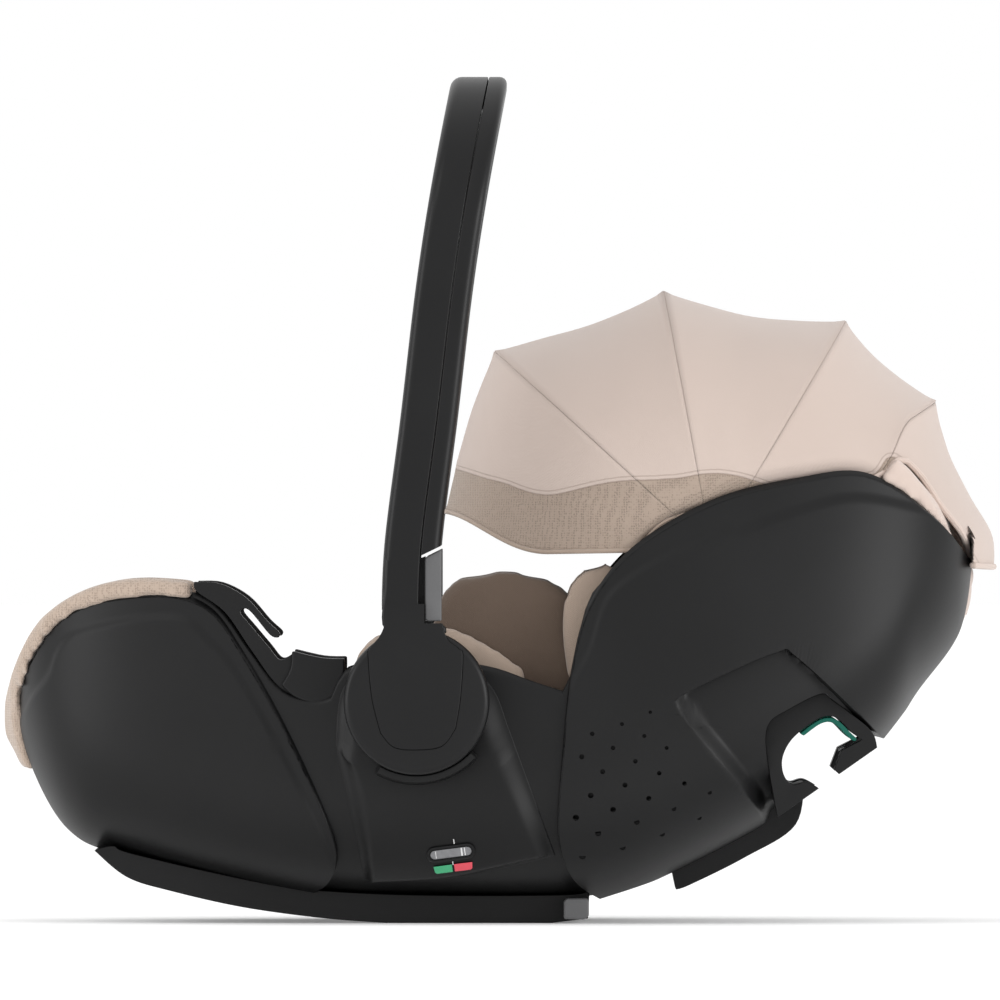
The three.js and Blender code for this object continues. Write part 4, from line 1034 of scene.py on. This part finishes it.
BAND_LINE = Line([flat_fan(a, r) for a, r in spline(BAND_EDGE, 6)])
REAR_COVER_TOP = table(sorted(p for p in REAR_COVER if p[1] > 200 and p[0] < 312))
TUCK, TUCK_ABOVE = 10.0, 16.0
PANEL_COLUMNS, PANEL_ROWS, FLAP_COLUMNS = 120, 22, 110


def tucked(point):
    """Brings the cloth inside the side covers where it goes down behind their top edge."""
    x, y, z = point
    top = REAR_COVER_TOP(x)
    if not 60 < x < 318 or z > top + TUCK_ABOVE:
        return point
    inner = side_y(x, min(z, top)) - TUCK
    into = smooth(top + TUCK_ABOVE - z, 0, TUCK_ABOVE)
    return x, math.copysign(abs(y) - into * max(0.0, abs(y) - inner), y), z


def hem_turn(reach, hem):
    return math.asin(min(1.0, (hem / reach) ** (HOOP_POWER / 2)))


def cloth_sheet(name, line_at, columns, rows):
    """A cloth whose lines across the seat are line_at(t) -> (angle at radius r, reach, first turn).

    Gives the sheet, its width, depth and area laid flat, and its points by (column, row).
    """

    def spot(u, v):
        angle_at, reach, start = line_at(v)
        share = u + 0.035 * math.sin(4 * math.pi * u)
        turn = start + (math.pi - 2 * start) * share
        r = reach * math.sin(turn) ** (2 / HOOP_POWER)
        degrees = angle_at(r)
        band = -BAND_LINE.right_of(*flat_fan(degrees, r))
        wave = noise.noise(Vector((degrees * 0.09, r * 0.022, 4 * u)))
        sink = 0.7 * smooth(band, -1.6, 1.6) + 0.5 * wave * smooth(min(u, 1 - u), 0, 0.05)
        return tucked(hoop(degrees, reach - sink, CLOTH_HALF_WIDTH - sink, turn)), band

    bpy.ops.mesh.primitive_grid_add(x_subdivisions=columns, y_subdivisions=rows, size=2)
    sheet = bpy.context.object
    bands = sheet.data.attributes.new("band", "FLOAT", "POINT")
    points = {}
    for index, vert in enumerate(sheet.data.vertices):
        u, v = (vert.co.x + 1) / 2, (vert.co.y + 1) / 2
        place, bands.data[index].value = spot(u, v)
        vert.co = Vector(place) * MM
        points[round(u * columns), round(v * rows)] = vert.co.copy()

    def run(keys):
        """The length of the line through grid points."""
        line = [points[key] for key in keys]
        return sum((b - a).length for a, b in zip(line, line[1:]))

    width = max(run([(i, j) for i in range(columns + 1)]) for j in range(rows + 1))
    depth = max(run([(i, j) for j in range(rows + 1)]) for i in range(columns + 1))
    area = sum(face.area for face in sheet.data.polygons)
    finish_mesh(sheet, name, 60)
    apply_modifier(sheet, "SOLIDIFY", thickness=CLOTH * MM, offset=-1.0)
    return sheet, width, depth, area, points


def rear_edge(r):
    """The last bow's seam bends back towards the cover near its foot."""
    return 33.2 - 9.5 * smooth(162 - r, 0, 44)


def canopy_panel(name, low, high, sag, hem_low, hem_high, front_edge):
    """The cloth between two bows, which sags a little and ends in a hem at each side."""
    a0, r0, _ = BOWS[low]
    a1, r1, _ = BOWS[high]

    def line_at(t):
        reach = mix(r0, r1, t) - sag * 4 * t * (1 - t)
        near = min(t, 1 - t) * abs(a1 - a0) * 3.1
        reach += 1.1 * math.exp(-((near / 3.4) ** 2)) - 0.2
        hem = mix(hem_low, hem_high, t)

        def angle_at(r):
            end = front_edge(r) if front_edge else a1 - 0.12
            start = rear_edge(r) if low == "rear" else a0
            return start + 0.12 + (end - start - 0.12) * t

        return angle_at, reach, hem_turn(reach, hem)

    return cloth_sheet(name, line_at, PANEL_COLUMNS, PANEL_ROWS)


def front_edge(r):
    return 181 - 9 * smooth(r, 110, 182)


def canopy_flap():
    rows = spline([tuple(map(float, row)) for row in FLAP], 4)

    def line_at(t):
        angle, reach, hem = rows[round(t * (len(rows) - 1))]
        bend = smooth(0.3 - t, 0, 0.3)
        return (lambda r: angle + bend * (rear_edge(r) - 33.2)), reach, hem_turn(reach, hem)

    return cloth_sheet("canopy_flap_cloth", line_at, FLAP_COLUMNS, len(rows) - 1)


def hem_roll(name, points, with_end, radius=1.5):
    """A rolled hem along both sides of a panel and, where asked, along its last line."""
    columns, rows = max(points)
    lines = [[points[i, j] for j in range(rows + 1)] for i in (0, columns)]
    if with_end:
        lines.append([points[i, rows] for i in range(columns + 1)])
    parts = []
    for line in lines:
        path = evenly([tuple(p / MM) for p in line], max(8, len(line)), closed=False)
        parts.append(tube(name, path, radius, 8))
    return joined(name, parts)


def bow_rod(name, key):
    angle, reach, leg = BOWS[key]
    radius = reach - 5.8
    path = [hoop(angle, radius, leg, 0.0006 + (math.pi - 0.0012) * i / 72) for i in range(73)]
    parts = [tube(name, path, 2.2, 12)]
    half = [(3.35, -2.2), (6.2, -2.2), (6.5, -1.9), (6.5, 1.9), (6.2, 2.2), (3.35, 2.2)]
    for side in (-1, 1):
        eye = lathe("eye", [(r, leg + y) for r, y in half], 32, CANOPY_PIVOT)
        if side < 0:
            eye.data.transform(Matrix.Scale(-1, 4, Vector((0, 1, 0))))
            eye.data.flip_normals()
        parts.append(eye)
    return finish_mesh(joined(name, parts), name, 40, outward=False)


# ---------------------------------------------------------------- padded pieces
def soft_copy(node, name, voxel, passes, shrink):
    """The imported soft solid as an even, rounded mesh."""
    source = bpy.data.objects[node]
    copy = source.copy()
    copy.data = source.data.copy()
    bpy.context.collection.objects.link(copy)
    copy.hide_render = copy.hide_viewport = False
    for key in list(copy.keys()):
        del copy[key]
    finish_mesh(copy, name, 0, outward=False)
    copy.data.materials.clear()
    apply_modifier(copy, "REMESH", mode="VOXEL", voxel_size=voxel * MM)
    apply_modifier(copy, "SMOOTH", factor=0.5, iterations=passes)
    return apply_modifier(copy, "DISPLACE", strength=-shrink * MM, mid_level=0.0)


PUFF_FRAMES = 20


def puffed(obj, pressure, cap):
    """Blows the pad up a little as cloth, moving no point further than the cap."""
    start = [v.co.copy() for v in obj.data.vertices]
    cloth = obj.modifiers.new("cloth", "CLOTH")
    settings = cloth.settings
    settings.quality = 4
    settings.use_pressure = True
    settings.uniform_pressure_force = pressure
    settings.tension_stiffness = settings.compression_stiffness = 12
    settings.shear_stiffness = 6
    settings.bending_stiffness = 0.6
    settings.effector_weights.gravity = 0
    cloth.collision_settings.use_collision = False
    cloth.point_cache.frame_start, cloth.point_cache.frame_end = 1, PUFF_FRAMES
    for at in range(1, PUFF_FRAMES + 1):
        bpy.context.scene.frame_set(at)
    only(obj)
    bpy.ops.object.modifier_apply(modifier=cloth.name)
    bpy.context.scene.frame_set(1)
    for v, home in zip(obj.data.vertices, start):
        move = v.co - home
        if move.length > cap * MM:
            v.co = home + move * (cap * MM / move.length)
    obj.select_set(False)
    return obj


def pad(node, name, voxel, shrink, pressure, cap, fill=0.6, body="seat", passes=8):
    """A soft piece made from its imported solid: rounded, blown up a little and shaded smooth."""
    piece = puffed(soft_copy(node, name, voxel, passes, shrink), pressure, cap)
    apply_modifier(piece, "SUBSURF", levels=1, render_levels=1)
    only(piece)
    bpy.ops.object.shade_smooth()
    piece.select_set(False)
    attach(piece, body)
    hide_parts(node)
    return piece


# ---------------------------------------------------------------- harness, insert and headrest
INSERT = 12.0


def seat_height(x):
    if x < SEAT_LOW[0]:
        return SEAT_LOW[1] + 0.00125 * (x - SEAT_LOW[0]) ** 2
    if x < 40:
        return SEAT_LOW[1] + 0.0045 * (x - SEAT_LOW[0]) ** 2
    return SEAT_LOW[1] + 16.2 + BACK_SLOPE * (x - 40)


def lining_height(x, y):
    return seat_height(x) + 34 * abs(y / 150) ** 3 + INSERT + 1.2


def ribbon(name, stations, width, thick):
    """A flat strap through stations of (x, y, z) of its underside, thicker at its sewn edges."""
    top = [(-0.5, 0.35), (-0.47, 0.95), (-0.42, 1), (-0.38, 0.8), (0, 0.86), (0.38, 0.8)]
    rest = [(0.42, 1), (0.47, 0.95), (0.5, 0.35), (0.47, 0), (0, 0), (-0.47, 0)]
    rings = [
        [(x, y + c * width, z + thick * h) for c, h in top + rest]
        for x, y, z in spline(stations, 8)
    ]
    return ringed(name, rings, 50)


SHOULDER_PATH = [(168, 44, 0), (140, 44, 0), (118, 43, 1.5), (100, 41, 3), (80, 37, 3), (62, 31, 5)]
SHOULDER_PATH += [(52, 27, 6.5), (42.5, 24, 8)]


def shoulder_strap():
    stations = [(x, y, lining_height(x, y) + lift) for x, y, lift in SHOULDER_PATH]
    return ribbon("shoulder_strap_right", stations, 38, 1.7)


def crotch_strap():
    stations = [(x, 0, z + 2.5) for x, z in ((-52, 78.5), (-44, 80), (-34, 83.5), (-22.5, 89))]
    return ribbon("crotch_strap_webbing", stations, 34, 1.8)


def buckle_housing():
    side = outline(
        [(-20, 87), (-16, 84), (24, 87)],
        [(24, 87), (30, 89)],
        [(30, 89), (30, 105)],
        [(30, 105), (20, 107), (-6, 104), (-20, 96), (-20, 87)],
    )
    body = plate("buckle_housing_shell", side, -21, 21, 4.0, 5, 30)
    cut(body, plate("well", oblong(-9, 94, 13, 130), -10.4, 10.4, 1.6, 3))
    for sign in (-1, 1):
        cut(body, plate("slot", oblong(18, 93.6, 35, 97.4), sign * 2, sign * 18))
    return finish_mesh(body, "buckle_housing_shell", 35, outward=False)


def buckle_button():
    side = [(-8.6, 98), (12.6, 98), (12.6, 107), (2, 106.2), (-8.6, 107)]
    return plate("buckle_button_cap", side, -10, 10, 1.6, 4)


def buckle_tongue():
    blade = plate("blade", oblong(19, 94, 42, 97), 3, 17, 0.7, 2)
    bar_piece = plate("bar", oblong(31.5, 94, 42, 99), 3, 45, 2.0, 4)
    tongue = joined("buckle_tongue_right", [blade, bar_piece])
    return finish_mesh(tongue, "buckle_tongue_right", 35, outward=False)


def headrest_lever():
    bpy.ops.mesh.primitive_cube_add(size=1)
    lever = bpy.context.object
    low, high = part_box("headrest_lever")
    middle = [(a + b) / 2 for a, b in zip(low, high)]
    lever.scale = (0.006, 0.04, 0.012)
    lever.rotation_euler = (0, -0.495, 0)
    lever.location = middle
    finish_mesh(lever, "headrest_lever_grip")
    bevelled(lever, 2.2, 4)
    return finish_mesh(lever, "headrest_lever_grip", 40)


# ---------------------------------------------------------------- materials
class Value:
    """A number or colour in a shader, so that shader maths reads as plain sums."""

    def __init__(self, finish, socket):
        self.finish, self.socket = finish, socket

    def math(self, operation, other=None, swap=False):
        pair = [self] if other is None else ([other, self] if swap else [self, other])
        return self.finish.node("ShaderNodeMath", {"operation": operation}, dict(enumerate(pair)))

    def __add__(self, other):
        return self.math("ADD", other)

    def __sub__(self, other):
        return self.math("SUBTRACT", other)

    def __mul__(self, other):
        return self.math("MULTIPLY", other)

    def __rsub__(self, other):
        return self.math("SUBTRACT", other, swap=True)

    __radd__, __rmul__ = __add__, __mul__

    def step(self, low, high):
        """0 below low, 1 above high and smooth between."""
        settings = {"interpolation_type": "SMOOTHSTEP"}
        inputs = {0: self, 1: low, 2: high, 3: 0.0, 4: 1.0}
        return self.finish.node("ShaderNodeMapRange", settings, inputs)


class Finish:
    """A procedural material around one Principled shader."""

    def __init__(self, name, **sockets):
        self.material = bpy.data.materials.new(name)
        self.material.use_nodes = True
        self.tree = self.material.node_tree
        self.shader = next(n for n in self.tree.nodes if n.type == "BSDF_PRINCIPLED")
        for key, value in sockets.items():
            self.shader.inputs[key.replace("_", " ")].default_value = value
        self.place = self.node("ShaderNodeTexCoord", {}, {}, "Object")

    def node(self, kind, settings, inputs, output=0):
        made = self.tree.nodes.new(kind)
        for key, value in settings.items():
            setattr(made, key, value)
        for key, value in inputs.items():
            if isinstance(value, Value):
                self.tree.links.new(value.socket, made.inputs[key])
            elif isinstance(value, tuple) and len(value) == 3 and made.inputs[key].type == "RGBA":
                made.inputs[key].default_value = (*value, 1)
            else:
                made.inputs[key].default_value = value
        return Value(self, made.outputs[output])

    def noise(self, scale, detail=2.0, rough=0.5, at=None):
        inputs = {"Vector": at or self.place, "Scale": scale, "Detail": detail, "Roughness": rough}
        return self.node("ShaderNodeTexNoise", {}, inputs)

    def stretched(self, sizes):
        settings = {"operation": "MULTIPLY"}
        return self.node("ShaderNodeVectorMath", settings, {0: self.place, 1: sizes})

    def attribute(self, name):
        return self.node("ShaderNodeAttribute", {"attribute_name": name}, {}, "Fac")

    def blend(self, amount, low, high):
        return self.node("ShaderNodeMix", {"data_type": "RGBA"}, {0: amount, 6: low, 7: high}, 2)

    def bands(self, direction, scale, distortion, **detail):
        """The height of a row of waves."""
        settings = {"wave_type": "BANDS", "bands_direction": direction}
        inputs = {"Vector": self.place, "Scale": scale, "Distortion": distortion, **detail}
        return self.node("ShaderNodeTexWave", settings, inputs, 1)

    def cells(self, feature, scale, **more):
        """The distance in a pattern of cells."""
        inputs = {"Vector": self.place, "Scale": scale, **more}
        return self.node("ShaderNodeTexVoronoi", {"feature": feature}, inputs, "Distance")

    def set(self, key, value):
        self.tree.links.new(value.socket, self.shader.inputs[key])
        return self

    def bump(self, height, strength, depth):
        inputs = {"Height": height, "Strength": strength, "Distance": depth}
        return self.set("Normal", self.node("ShaderNodeBump", {}, inputs, "Normal"))


def moulded(name, dark, light, rough=0.4, grain=0.35, scale=1500.0, coat=0.0):
    """Grained plastic: a fine leather-like grain, cloudy gloss and slightly paler wear."""
    made = Finish(name, Coat_Weight=coat, Coat_Roughness=0.3, Specular_IOR_Level=0.24)
    cloud = made.noise(9.0, 3.0)
    pits = made.noise(scale, 3.0, 0.6)
    specks = made.noise(scale * 0.45, 1.0)
    made.set("Base Color", made.blend(cloud.step(0.3, 0.75) * 0.7 + specks * 0.3, dark, light))
    made.set("Roughness", rough - 0.05 + cloud * 0.07 + pits * 0.05)
    return made.bump(pits * 0.7 + specks * 0.3, grain, 0.00009)


def knitted(made, scale=1.0):
    """The height of a fine knit: slanted ribs with loose fibres."""
    fine = made.noise(900.0 * scale, 2.0)
    ribs = made.bands("DIAGONAL", 420.0 * scale, 1.6, **{"Detail": 2.0, "Detail Scale": 3.0})
    return ribs * 0.6 + fine * 0.4


def jersey(name, dark, light, sheen=0.3):
    """Soft stretch cloth with a fine slanted rib."""
    made = Finish(name, Roughness=0.85, Sheen_Weight=sheen, Sheen_Roughness=0.5)
    thread = knitted(made)
    patchy = made.noise(22.0, 4.0)
    made.set("Base Color", made.blend(thread * 0.45 + patchy * 0.55, dark, light))
    made.set("Roughness", 0.78 + thread * 0.14)
    return made.bump(thread, 0.5, 0.00035)


def mesh_height(made):
    return made.cells("F1", 620.0, Randomness=0.35).step(0.12, 0.55)


def air_mesh(name, dark, light):
    """Spacer mesh with small open cells."""
    made = Finish(name, Roughness=0.9, Sheen_Weight=0.25, Sheen_Roughness=0.5)
    holes = mesh_height(made)
    patchy = made.noise(35.0, 3.0)
    made.set("Base Color", made.blend(holes * 0.75 + patchy * 0.25, dark, light))
    made.set("Roughness", 0.82 + holes * 0.12)
    return made.bump(holes, 0.65, 0.0006)


def canopy_cloth():
    """Pale jersey above the sewn edge and tan mesh below it, with a row of stitches and painted
    shade in the crease along the sewn edge.
    """
    made = Finish("canopy_cloth", Sheen_Weight=0.25, Sheen_Roughness=0.5)
    band = made.attribute("band")
    mask = band.step(-0.25, 0.25)
    thread = knitted(made, 1.2)
    patchy = made.noise(14.0, 4.0)
    pale = made.blend(thread * 0.35 + patchy * 0.65, (0.45, 0.365, 0.32), (0.515, 0.425, 0.378))
    holes = mesh_height(made)
    tan = made.blend(holes * 0.8 + patchy * 0.2, (0.205, 0.157, 0.122), (0.335, 0.262, 0.21))
    line = 1 - (band + 2.6).math("ABSOLUTE").step(0.25, 0.6)
    # The crease along the sewn edge: it sets the crease's dip in the bump and the painted shade in
    # its colour.
    crease_painted_shade = 1 - band.math("ABSOLUTE").step(0.1, 0.8)
    body = made.blend(mask, pale, tan)
    # Stitches and the painted shade in the crease both take this dark brown.
    made.set("Base Color", made.blend(line * 0.35 + crease_painted_shade * 0.5, body, (0.2, 0.145, 0.11)))
    made.set("Roughness", 0.8 + thread * 0.1)
    height = thread * (1 - mask) * 0.5 + holes * mask - line * 0.8 - crease_painted_shade * 1.2
    return made.bump(height, 0.55, 0.0005)


def webbing():
    made = Finish("harness_webbing", Roughness=0.7, Sheen_Weight=0.2)
    yarn = made.bands("X", 230.0, 0.4, Detail=1.0) * made.bands("Y", 160.0, 0.2, Detail=1.0)
    made.set("Base Color", made.blend(yarn, (0.012, 0.012, 0.013), (0.04, 0.04, 0.042)))
    made.set("Roughness", 0.6 + yarn * 0.2)
    return made.bump(yarn, 0.6, 0.0005)


def bead_foam():
    made = Finish("bead_foam", Roughness=0.8)
    seam = made.cells("DISTANCE_TO_EDGE", 260.0).step(0.0, 0.12)
    made.set("Base Color", made.blend(seam, (0.05, 0.05, 0.052), (0.11, 0.11, 0.115)))
    made.set("Roughness", 0.9 - seam * 0.15)
    return made.bump(seam, 0.6, 0.0006)


def brushed_steel():
    made = Finish("brushed_steel", Metallic=1.0)
    lines = made.noise(60.0, 3.0, 0.6, made.stretched((1.0, 14.0, 1.0)))
    made.set("Base Color", made.blend(lines, (0.42, 0.42, 0.43), (0.62, 0.62, 0.63)))
    made.set("Roughness", 0.24 + lines * 0.14)
    return made.bump(lines, 0.1, 0.0001)


def glossy_mark(name, dark, light):
    made = Finish(name, Coat_Weight=0.3)
    cloud = made.noise(300.0, 2.0)
    made.set("Base Color", made.blend(cloud, dark, light))
    made.set("Roughness", 0.35 + cloud * 0.1)
    return made.bump(cloud, 0.1, 0.00005)


def floor_finish():
    made = Finish("studio_floor", Roughness=0.9, Emission_Color=(1, 1, 1, 1), Emission_Strength=0.2)
    made.set("Base Color", made.blend(made.noise(3.0, 2.0), (0.86, 0.86, 0.86), (0.88, 0.88, 0.88)))
    return made


BLACK_LIGHT = (0.0065, 0.0065, 0.0068)
FINISHES = {
    "shell": moulded("black_plastic_shell", (0.0035, 0.0035, 0.0037), BLACK_LIGHT, 0.43, 0.5),
    "handle": moulded("black_plastic_handle", (0.0035, 0.0035, 0.0038), BLACK_LIGHT, 0.36, 0.3),
    "dark": moulded("dark_inner_plastic", (0.02, 0.02, 0.021), (0.034, 0.034, 0.035), 0.5, 0.4),
    "grey": moulded("grey_plastic", (0.10, 0.10, 0.102), (0.135, 0.135, 0.138), 0.42, 0.35),
    "foam": bead_foam(),
    "pale": jersey("pale_beige_jersey", (0.48, 0.385, 0.335), (0.57, 0.465, 0.41)),
    "tan": jersey("tan_jersey", (0.30, 0.228, 0.178), (0.385, 0.30, 0.24)),
    "mesh": air_mesh("tan_air_mesh", (0.30, 0.23, 0.18), (0.43, 0.34, 0.275)),
    # The insert's brown jersey is darkened as painted shade, standing for the shadow under the
    # canopy.
    "brown": jersey("brown_jersey", (0.075, 0.048, 0.032), (0.12, 0.082, 0.058)),
    "canopy": canopy_cloth(),
    "webbing": webbing(),
    "steel": brushed_steel(),
    "teal": moulded("teal_rubber", (0.0, 0.075, 0.052), (0.004, 0.12, 0.085), 0.5, 0.3),
    "green": glossy_mark("green_mark", (0.03, 0.36, 0.155), (0.045, 0.42, 0.19)),
    "red": glossy_mark("red_mark", (0.68, 0.055, 0.085), (0.8, 0.075, 0.11)),
    "white": glossy_mark("white_tick", (0.7, 0.7, 0.7), (0.8, 0.8, 0.8)),
    "window": glossy_mark("clear_grey_window", (0.16, 0.16, 0.17), (0.24, 0.24, 0.25)),
}


def dress(obj, finish):
    obj.data.materials.clear()
    obj.data.materials.append(FINISHES[finish].material)
    return obj


def hard(obj, finish, body, *nodes):
    """Dresses a piece, puts it on its body and lets it stand for its CAD nodes."""
    dress(obj, finish)
    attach(obj, body)
    if nodes:
        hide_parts(*nodes)
    return obj


# ---------------------------------------------------------------- build: hard parts
def both_sides(piece, finish, body, *nodes):
    """Dresses a right-hand piece and makes its left-hand twin."""
    base = piece.name.split("_right")[0]
    left = mirrored(piece, base + "_left")
    for side, obj in (("right", piece), ("left", left)):
        obj.name = obj.data.name = f"{base}_skin_{side}"
        hard(obj, finish, body, *[f"{node}_{side}" for node in nodes])


both_sides(front_cover(), "shell", "seat", "front_cover")
both_sides(rear_cover(), "shell", "seat", "rear_cover")
both_sides(belt_guide(), "shell", "seat", "belt_guide")
both_sides(guide_lining(), "teal", "seat", "guide_lining")
both_sides(hub_seat(), "shell", "seat", "hub_seat")
both_sides(belt_hook(), "handle", "seat", "belt_hook")
both_sides(heel_foot(), "grey", "seat", "heel_foot")
both_sides(hub_cover(), "handle", "handle", "hub_cover")
both_sides(shoulder_strap(), "webbing", "seat", "shoulder_strap")
both_sides(buckle_tongue(), "steel", "seat", "buckle_tongue")
hard(seat_shell(), "shell", "seat", "seat_shell").name = "seat_shell_skin"
hard(rocker_base(), "shell", "seat", "rocker_base").name = "rocker_base_skin"
hard(back_panel(), "shell", "seat", "back_panel").name = "back_panel_skin"
hard(handle_front(), "handle", "handle", "handle_front").name = "handle_front_skin"
hard(handle_rear(), "handle", "handle", "handle_rear").name = "handle_rear_skin"
for side in SIDES:
    node = "release_button_" + side[0]
    hard(release_button(side), "grey", node, node).name = node + "_cap"
bezel, capsule, ticks, green, red = level_indicator()
hard(bezel, "handle", "seat", "level_bezel").name = "level_bezel_frame"
hard(capsule, "window", "seat")
hard(ticks, "white", "seat").name = "level_tick_lines"
hard(green, "green", "seat", "level_mark_green").name = "level_green_inlay"
hard(red, "red", "seat", "level_mark_red").name = "level_red_inlay"
hard(crotch_strap(), "webbing", "seat", "crotch_strap")
hard(buckle_housing(), "handle", "seat", "buckle_housing")
hard(buckle_button(), "red", "buckle_button", "buckle_button")
hard(headrest_lever(), "grey", "headrest_lever", "headrest_lever")
for node, finish in (
    ("inner_bucket", "dark"),
    ("foam_liner", "foam"),
    ("pivot_axle_left", "steel"),
    ("pivot_axle_right", "steel"),
    ("canopy_mount_left", "dark"),
    ("canopy_mount_right", "dark"),
    ("headrest_plate", "dark"),
):
    for material_slot in bpy.data.objects[node].material_slots:
        material_slot.material = FINISHES[finish].material

# ---------------------------------------------------------------- build: canopy
BOW_BODY = {"rear": "seat", "back": "canopy_back", "top": "canopy_top", "high": "canopy_high"}
BOW_BODY["front"] = "canopy_front"
for key, body in BOW_BODY.items():
    hard(bow_rod("bow_rod_" + key, key), "steel", body, "canopy_bow_" + key)

# Name, the bows on either side, sag, half width of the hem at each bow and a free front edge.
PANELS = (
    ("back", "rear", "back", 9.0, 98, 38, None),
    ("top", "back", "top", 17.5, 38, 24, None),
    ("high", "top", "high", 14.5, 24, 32, None),
    ("front", "high", "front", 6.0, 32, 48, front_edge),
)


def fan_point(degrees, r):
    x, z = flat_fan(degrees, r)
    return (CANOPY_PIVOT[0] + x) * MM, 0.0, (CANOPY_PIVOT[1] + z) * MM


for name, low, high, *form in PANELS:
    panel = canopy_panel("canopy_panel_" + name, low, high, *form)
    cloth, width, depth, area, points = panel
    dress(cloth, "canopy")
    hem = dress(hem_roll("canopy_hem_" + name, points, name == "front"), "tan")
    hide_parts("canopy_cloth_" + name)
    start, end = (fan_point(BOWS[bow][0], 150) for bow in (low, high))
    for piece in (cloth, hem):
        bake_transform(piece)

flap, width, depth, area, points = canopy_flap()
hem = hem_roll("canopy_hem_flap", points, True, 2.2)
for piece, finish in ((flap, "canopy"), (hem, "pale")):
    dress(piece, finish)
    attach(piece, "seat")
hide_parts("canopy_flap")

# ---------------------------------------------------------------- build: pads
RIM = {"passes": 4}
FULL = {"fill": 0.7}
PADS = (
    ("foot_rim_cloth", "foot_rim_cover", "mesh", (3.5, -0.8, 3.0, 1.5), RIM),
    ("head_rim_cloth", "head_rim_cover", "pale", (3.5, -0.6, 3.0, 1.5), RIM),
    ("seat_pad", "seat_pad_cover", "tan", (5.0, -0.4, 3.5, 2.5), {}),
    ("back_pad", "back_pad_cover", "tan", (5.0, 1.0, 3.5, 4.0), {}),
    # The insert cushion takes the brown jersey that is darkened as painted shade.
    ("insert_cushion", "insert_cushion_cover", "brown", (5.0, 1.0, 4.0, 4.0), FULL),
    ("headrest_cushion", "headrest_cushion_cover", "tan", (4.0, 1.0, 4.0, 3.0), FULL),
    ("crotch_pad", "crotch_pad_cover", "tan", (2.5, 0.4, 3.0, 2.0), {}),
    ("shoulder_pad_left", "shoulder_pad_cover_left", "tan", (2.5, 0.4, 3.0, 2.0), {}),
    ("shoulder_pad_right", "shoulder_pad_cover_right", "tan", (2.5, 0.4, 3.0, 2.0), {}),
)
for node, name, finish, form, more in PADS:
    body = "headrest" if node.startswith("headrest") else "seat"
    dress(pad(node, name, *form, body=body, **more), finish)


# ---------------------------------------------------------------- studio
def softbox(name, place_at, aim, size, power):
    bpy.ops.object.light_add(type="AREA", location=place_at)
    light = bpy.context.object
    light.name = name
    light.data.shape = "RECTANGLE"
    light.data.size, light.data.size_y = size
    light.data.energy = power
    light.rotation_euler = (Vector(aim) - Vector(place_at)).to_track_quat("-Z", "Y").to_euler()


def studio():
    bpy.ops.mesh.primitive_plane_add(size=120.0)
    floor = bpy.context.object
    floor.name = floor.data.name = "studio_floor"
    floor.data.materials.append(floor_finish().material)
    softbox("key_softbox", (-1.6, -2.2, 2.4), (0, 0, 0.25), (1.2, 1.2), 9)
    softbox("side_softbox", (1.7, -1.25, 0.5), (0.2, -0.1, 0.12), (1.1, 0.8), 16)
    softbox("foot_softbox", (-1.9, -1.0, 0.6), (-0.2, -0.1, 0.15), (0.9, 1.2), 11)
    softbox("rim_softbox", (-2.0, 0.7, 1.2), (-0.1, 0, 0.3), (1.0, 1.6), 3)
    softbox("top_softbox", (0.1, 0.1, 2.6), (0, 0, 0.3), (1.6, 1.6), 2)
    world = bpy.data.worlds.new("studio_air")
    world.use_nodes = True
    air = next(n for n in world.node_tree.nodes if n.type == "BACKGROUND")
    air.inputs["Color"].default_value = (1, 1, 1, 1)
    air.inputs["Strength"].default_value = 1.0
    bpy.context.scene.world = world


def camera():
    distance, view_width, sensor = 20.0, 0.672, 36.0
    middle = (-0.001, -0.19 - distance, 0.2856)
    bpy.ops.object.camera_add(location=middle, rotation=(math.pi / 2, 0, 0))
    eye = bpy.context.object
    eye.name = "side_camera"
    eye.data.sensor_width = sensor
    eye.data.lens = sensor * distance / view_width
    eye.data.clip_end = 200
    bpy.context.scene.camera = eye


studio()
camera()
bpy.context.scene.view_settings.view_transform = "Standard"
